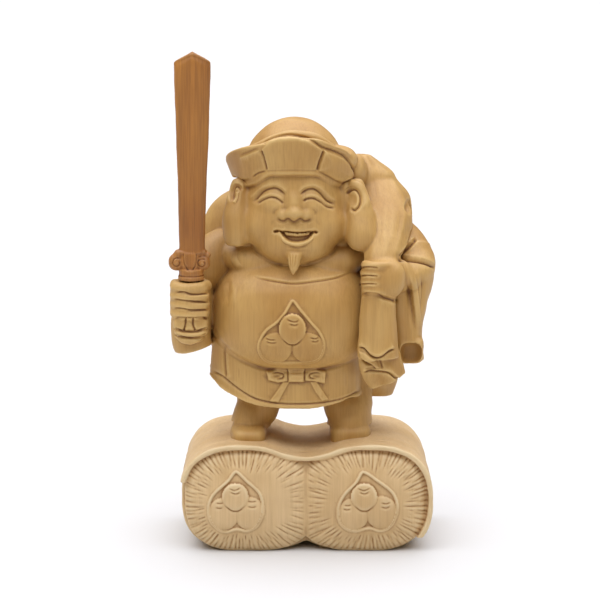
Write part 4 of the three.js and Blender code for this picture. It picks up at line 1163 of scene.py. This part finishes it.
def swordForms():
    bm = bmesh.new()
    addBlade(bm)
    x, y, low = sword["x"] + sword["guardShift"], sword["y"], sword["guard"]
    addBall(bm, (x + 0.3, y, low + 2.9), (2.7, 2.3, 3.2), 4)  # the guard's plate
    addLimb(bm, [(x - 3.6, y, low + 6, 0.7, 1.7), (x - 1.6, y, low + 5.4, 1, 1.9),
                 (x + 2, y, low + 5.4, 1, 1.9), (x + 4.6, y, low + 6, 0.7, 1.7)],
            across=(0, 0, 1), blunt=4)
    # The scrolls on both sides, then the collar and the handle
    addBall(bm, (x - 3.9, y, low + 2.5), (2.6, 2.1, 2.6), 2.3)
    addLimb(bm, [(x - 4.2, y, low + 3.4, 1.7, 1.8), (x - 2.8, y, low + 6.2, 1.2, 1.7)], blunt=3)
    addBall(bm, (x + 3.9, y, low + 2.3), (2.5, 2, 2.3), 2.3)
    addBall(bm, (x + 4.2, y, low + 5.6), (1.2, 1.5, 1.1))
    addBall(bm, (x + 5.6, y, low + 4.7), (1, 1.4, 1))
    for bottom, top, radius in ((low - 3, low - 1.6, 3.95), (low - 1.6, low + 0.4, 3.7),
                                (sword["socket"], low, 2.2)):
        addPost(bm, sword["x"], y, bottom, top, radius, 64)
    return bm


def carveSword():
    blade = asObject("carvedSword", swordForms())
    remesh(blade, clayGrid["sword"])
    clay = readClay(blade.data)
    clay["co"] = relaxed(clay, 0.5, 8)
    writeClay(blade.data, clay)
    clay = readClay(blade.data)
    x, low = sword["x"] + sword["guardShift"], sword["guard"]
    for turn in (1, -1):  # front and back
        view = squareOn(clay, clay["normal"][:, 1] * turn < 0, (turn, 0, 0), (0, 0, 1))
        for cx, cz, r in ((x - 3.8, low + 2.5, 1.7), (x + 3.9, low + 2.3, 1.6)):
            spiral = [(turn * (cx + math.cos(a) * r * (1 - a / 14)), cz + math.sin(a) * r * (1 - a / 14))
                      for a in np.linspace(0.6, 7.4, 12)]
            groove(view, spiral, 0.75, 0.4, ends=0.1)
            mound(view, (turn * cx, cz), (0.8, 0.8), 0.2)
        for line in ([(x - 1.9, low + 5.6), (x - 1.7, low + 2.6), (x - 0.6, low + 0.6), (x + 0.4, low + 0.2)],
                     [(x + 2.4, low + 5.6), (x + 2.2, low + 2.6), (x + 1.2, low + 0.6), (x + 0.2, low + 0.2)]):
            groove(view, [(turn * s, t) for s, t in line], 0.7, 0.35, ends=0.1)
        groove(view, [(turn * (sword["x"] + s), low - 1.5) for s in (-4, 4)], 0.8, 0.4, ends=0.02)
        # The bevel's edge below the tip
        tipLine = [(sword["x"] + sword["shift"] + s, sword["shoulder"] + 0.3 + 2.0 * (1 - abs(s) / 5.6))
                   for s in (-5.6, -2.8, 0, 2.8, 5.6)]
        ridge(view, [(turn * s, t) for s, t in tipLine], 0.8, 0.12, ends=0.05)
        gather(clay, view)
    chisel(clay, np.random.default_rng(5), 0.02, 7)
    press(clay)
    finishPiece(blade, clay)
    return blade


bales = carveBales()
figure = carveFigure()
blade = carveSword()
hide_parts("sword")
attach(blade, "root")
for piece in (bales, figure):
    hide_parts("figure_on_bales")
    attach(piece, "root")


# Wood: long soft grain, a darker tone painted in the cuts as shade and a paler one painted on the edges as
# highlight
def tone(red, green, blue):
    # A colour as the picture's 0 to 255 values give it, made linear
    return tuple(((v / 255 + 0.055) / 1.055) ** 2.4 for v in (red, green, blue)) + (1,)


# light and dark are the wood's own tones; cut darkens the grain's lines and is the painted shade in the cuts;
# edge is the painted highlight on the edges
paleWood = {"light": tone(194, 154, 88), "dark": tone(174, 129, 62), "cut": tone(122, 79, 34),
            "edge": tone(206, 170, 106), "grain": 0.09, "roughness": 0.55, "bump": 0.12}
strawWood = {**paleWood, "light": tone(217, 186, 138), "dark": tone(201, 166, 114), "cut": tone(154, 111, 62),
             "edge": tone(218, 194, 150)}
darkWood = {"light": tone(180, 120, 48), "dark": tone(156, 97, 33), "cut": tone(84, 46, 18),
            "edge": tone(175, 130, 75), "grain": 0.2, "roughness": 0.5, "bump": 0.2}

# Each pattern's cycles in a metre, detail and distortion, and the values between which it sets in
woodGrain = {
    "patches": ((60, 60, 25), 3, 0, 0.35, 0.68),
    "fibres": ((2200, 1200, 70), 5, 0.3, 0.42, 0.72),
    "rings": ((550, 200, 12), 2, 0.4, 0.48, 0.62),
}


def feed(tree, socket, value):
    # Links a socket to another, or sets its value
    if isinstance(value, bpy.types.NodeSocket):
        tree.links.new(value, socket)
    else:
        socket.default_value = value


def addNode(tree, kind, **values):
    # A node, with its sockets or else its own settings given by name
    made = tree.nodes.new(kind)
    for key, value in values.items():
        if key in made.inputs:
            feed(tree, made.inputs[key], value)
        else:
            setattr(made, key, value)
    return made


def mix(tree, factor, a, b):
    made = addNode(tree, "ShaderNodeMix", data_type="RGBA")
    for place, value in ((0, factor), (6, a), (7, b)):
        feed(tree, made.inputs[place], value)
    return made.outputs[2]


def ramp(tree, value, low, high):
    made = addNode(tree, "ShaderNodeMapRange", **{"Value": value, "From Min": low, "From Max": high})
    return made.outputs["Result"]


def woodMaterial(name, wood):
    material = bpy.data.materials.new(name)
    material.use_nodes = True
    tree = material.node_tree
    place = addNode(tree, "ShaderNodeTexCoord").outputs["Object"]
    noise, share = {}, {}
    for pattern, (scale, detail, distortion, low, high) in woodGrain.items():
        stretched = addNode(tree, "ShaderNodeMapping", Vector=place, Scale=scale).outputs["Vector"]
        noise[pattern] = addNode(tree, "ShaderNodeTexNoise", Vector=stretched, Scale=1, Detail=detail,
                                 Distortion=distortion).outputs["Fac"]
        share[pattern] = ramp(tree, noise[pattern], low, high)
    base = mix(tree, share["patches"], wood["light"], wood["dark"])
    for pattern, strength in (("fibres", wood["grain"] * 2), ("rings", wood["grain"])):
        base = mix(tree, share[pattern], base, mix(tree, strength, base, wood["cut"]))
    # Painted shade in the cuts and painted highlight on the edges, read from how hollow the carving is at each
    # point
    shadeAndHighlight = addNode(tree, "ShaderNodeAttribute", attribute_name="shadeAndHighlight").outputs["Fac"]
    for colour, low, high in (("edge", -0.05, -0.7), ("cut", 0.06, 0.9)):
        base = mix(tree, ramp(tree, shadeAndHighlight, low, high), base, wood[colour])
    bump = addNode(tree, "ShaderNodeBump", Height=noise["fibres"], Strength=wood["bump"], Distance=0.0004)
    shader = tree.nodes["Principled BSDF"]
    feed(tree, shader.inputs["Base Color"], base)
    feed(tree, shader.inputs["Roughness"], wood["roughness"])
    feed(tree, shader.inputs["Normal"], bump.outputs["Normal"])
    return material


for piece, name, wood in ((bales, "carvedStraw", strawWood), (figure, "carvedPaleWood", paleWood),
                          (blade, "carvedDarkWood", darkWood)):
    piece.data.materials.clear()
    piece.data.materials.append(woodMaterial(name, wood))
    piece.data.polygons.foreach_set("material_index", [0] * len(piece.data.polygons))
print("woods in place")

# Floor, light and camera
studio = {
    "floorHalf": 14, "paper": (0.62, 0.605, 0.57, 1), "paperRoughness": 0.9,
    # The light from below and above, and the heights of the sky between which one turns into the other
    "low": (0.16, 0.13, 0.09, 1), "high": (3.1, 3.2, 3.55, 1), "from": 0.5, "to": 0.85,
    "windowPlace": (-0.35, -0.45, 0.75), "windowAim": (0, 0, 0.07), "windowSize": 0.4, "windowPower": 0.65,
}
floorForm = bmesh.new()
bmesh.ops.create_grid(floorForm, x_segments=1, y_segments=1, size=studio["floorHalf"])
floor = newObject("floor", asMesh("floor", floorForm))
paper = bpy.data.materials.new("paper")
paper.use_nodes = True
shader = paper.node_tree.nodes["Principled BSDF"]
shader.inputs["Base Color"].default_value = studio["paper"]
shader.inputs["Roughness"].default_value = studio["paperRoughness"]
floor.data.materials.append(paper)

world = bpy.data.worlds.new("studio")
world.use_nodes = True
sky = world.node_tree
way = addNode(sky, "ShaderNodeTexCoord").outputs["Generated"]
height = addNode(sky, "ShaderNodeSeparateXYZ", Vector=way).outputs["Z"]
glow = mix(sky, ramp(sky, height, studio["from"], studio["to"]), studio["low"], studio["high"])
feed(sky, sky.nodes["Background"].inputs["Color"], glow)
bpy.context.scene.world = world
bpy.context.scene.view_settings.view_transform = "Standard"

light = bpy.data.lights.new("windowLight", "AREA")
light.energy = studio["windowPower"]
light.size = studio["windowSize"]
window = newObject("windowLight", light)
window.location = studio["windowPlace"]
toAim = Vector(studio["windowAim"]) - window.location
window.rotation_euler = toAim.to_track_quat("-Z", "Y").to_euler()

lens = bpy.data.cameras.new("camera")
lens.lens = picture["lens"]
lens.sensor_width = picture["sensor"]
camera = newObject("camera", lens)
camera.location = Vector((cameraPlace + origin) * mm)
camera.rotation_euler = Vector(ahead).to_track_quat("-Z", "Y").to_euler()
bpy.context.scene.camera = camera

print("floor, light and camera in place")
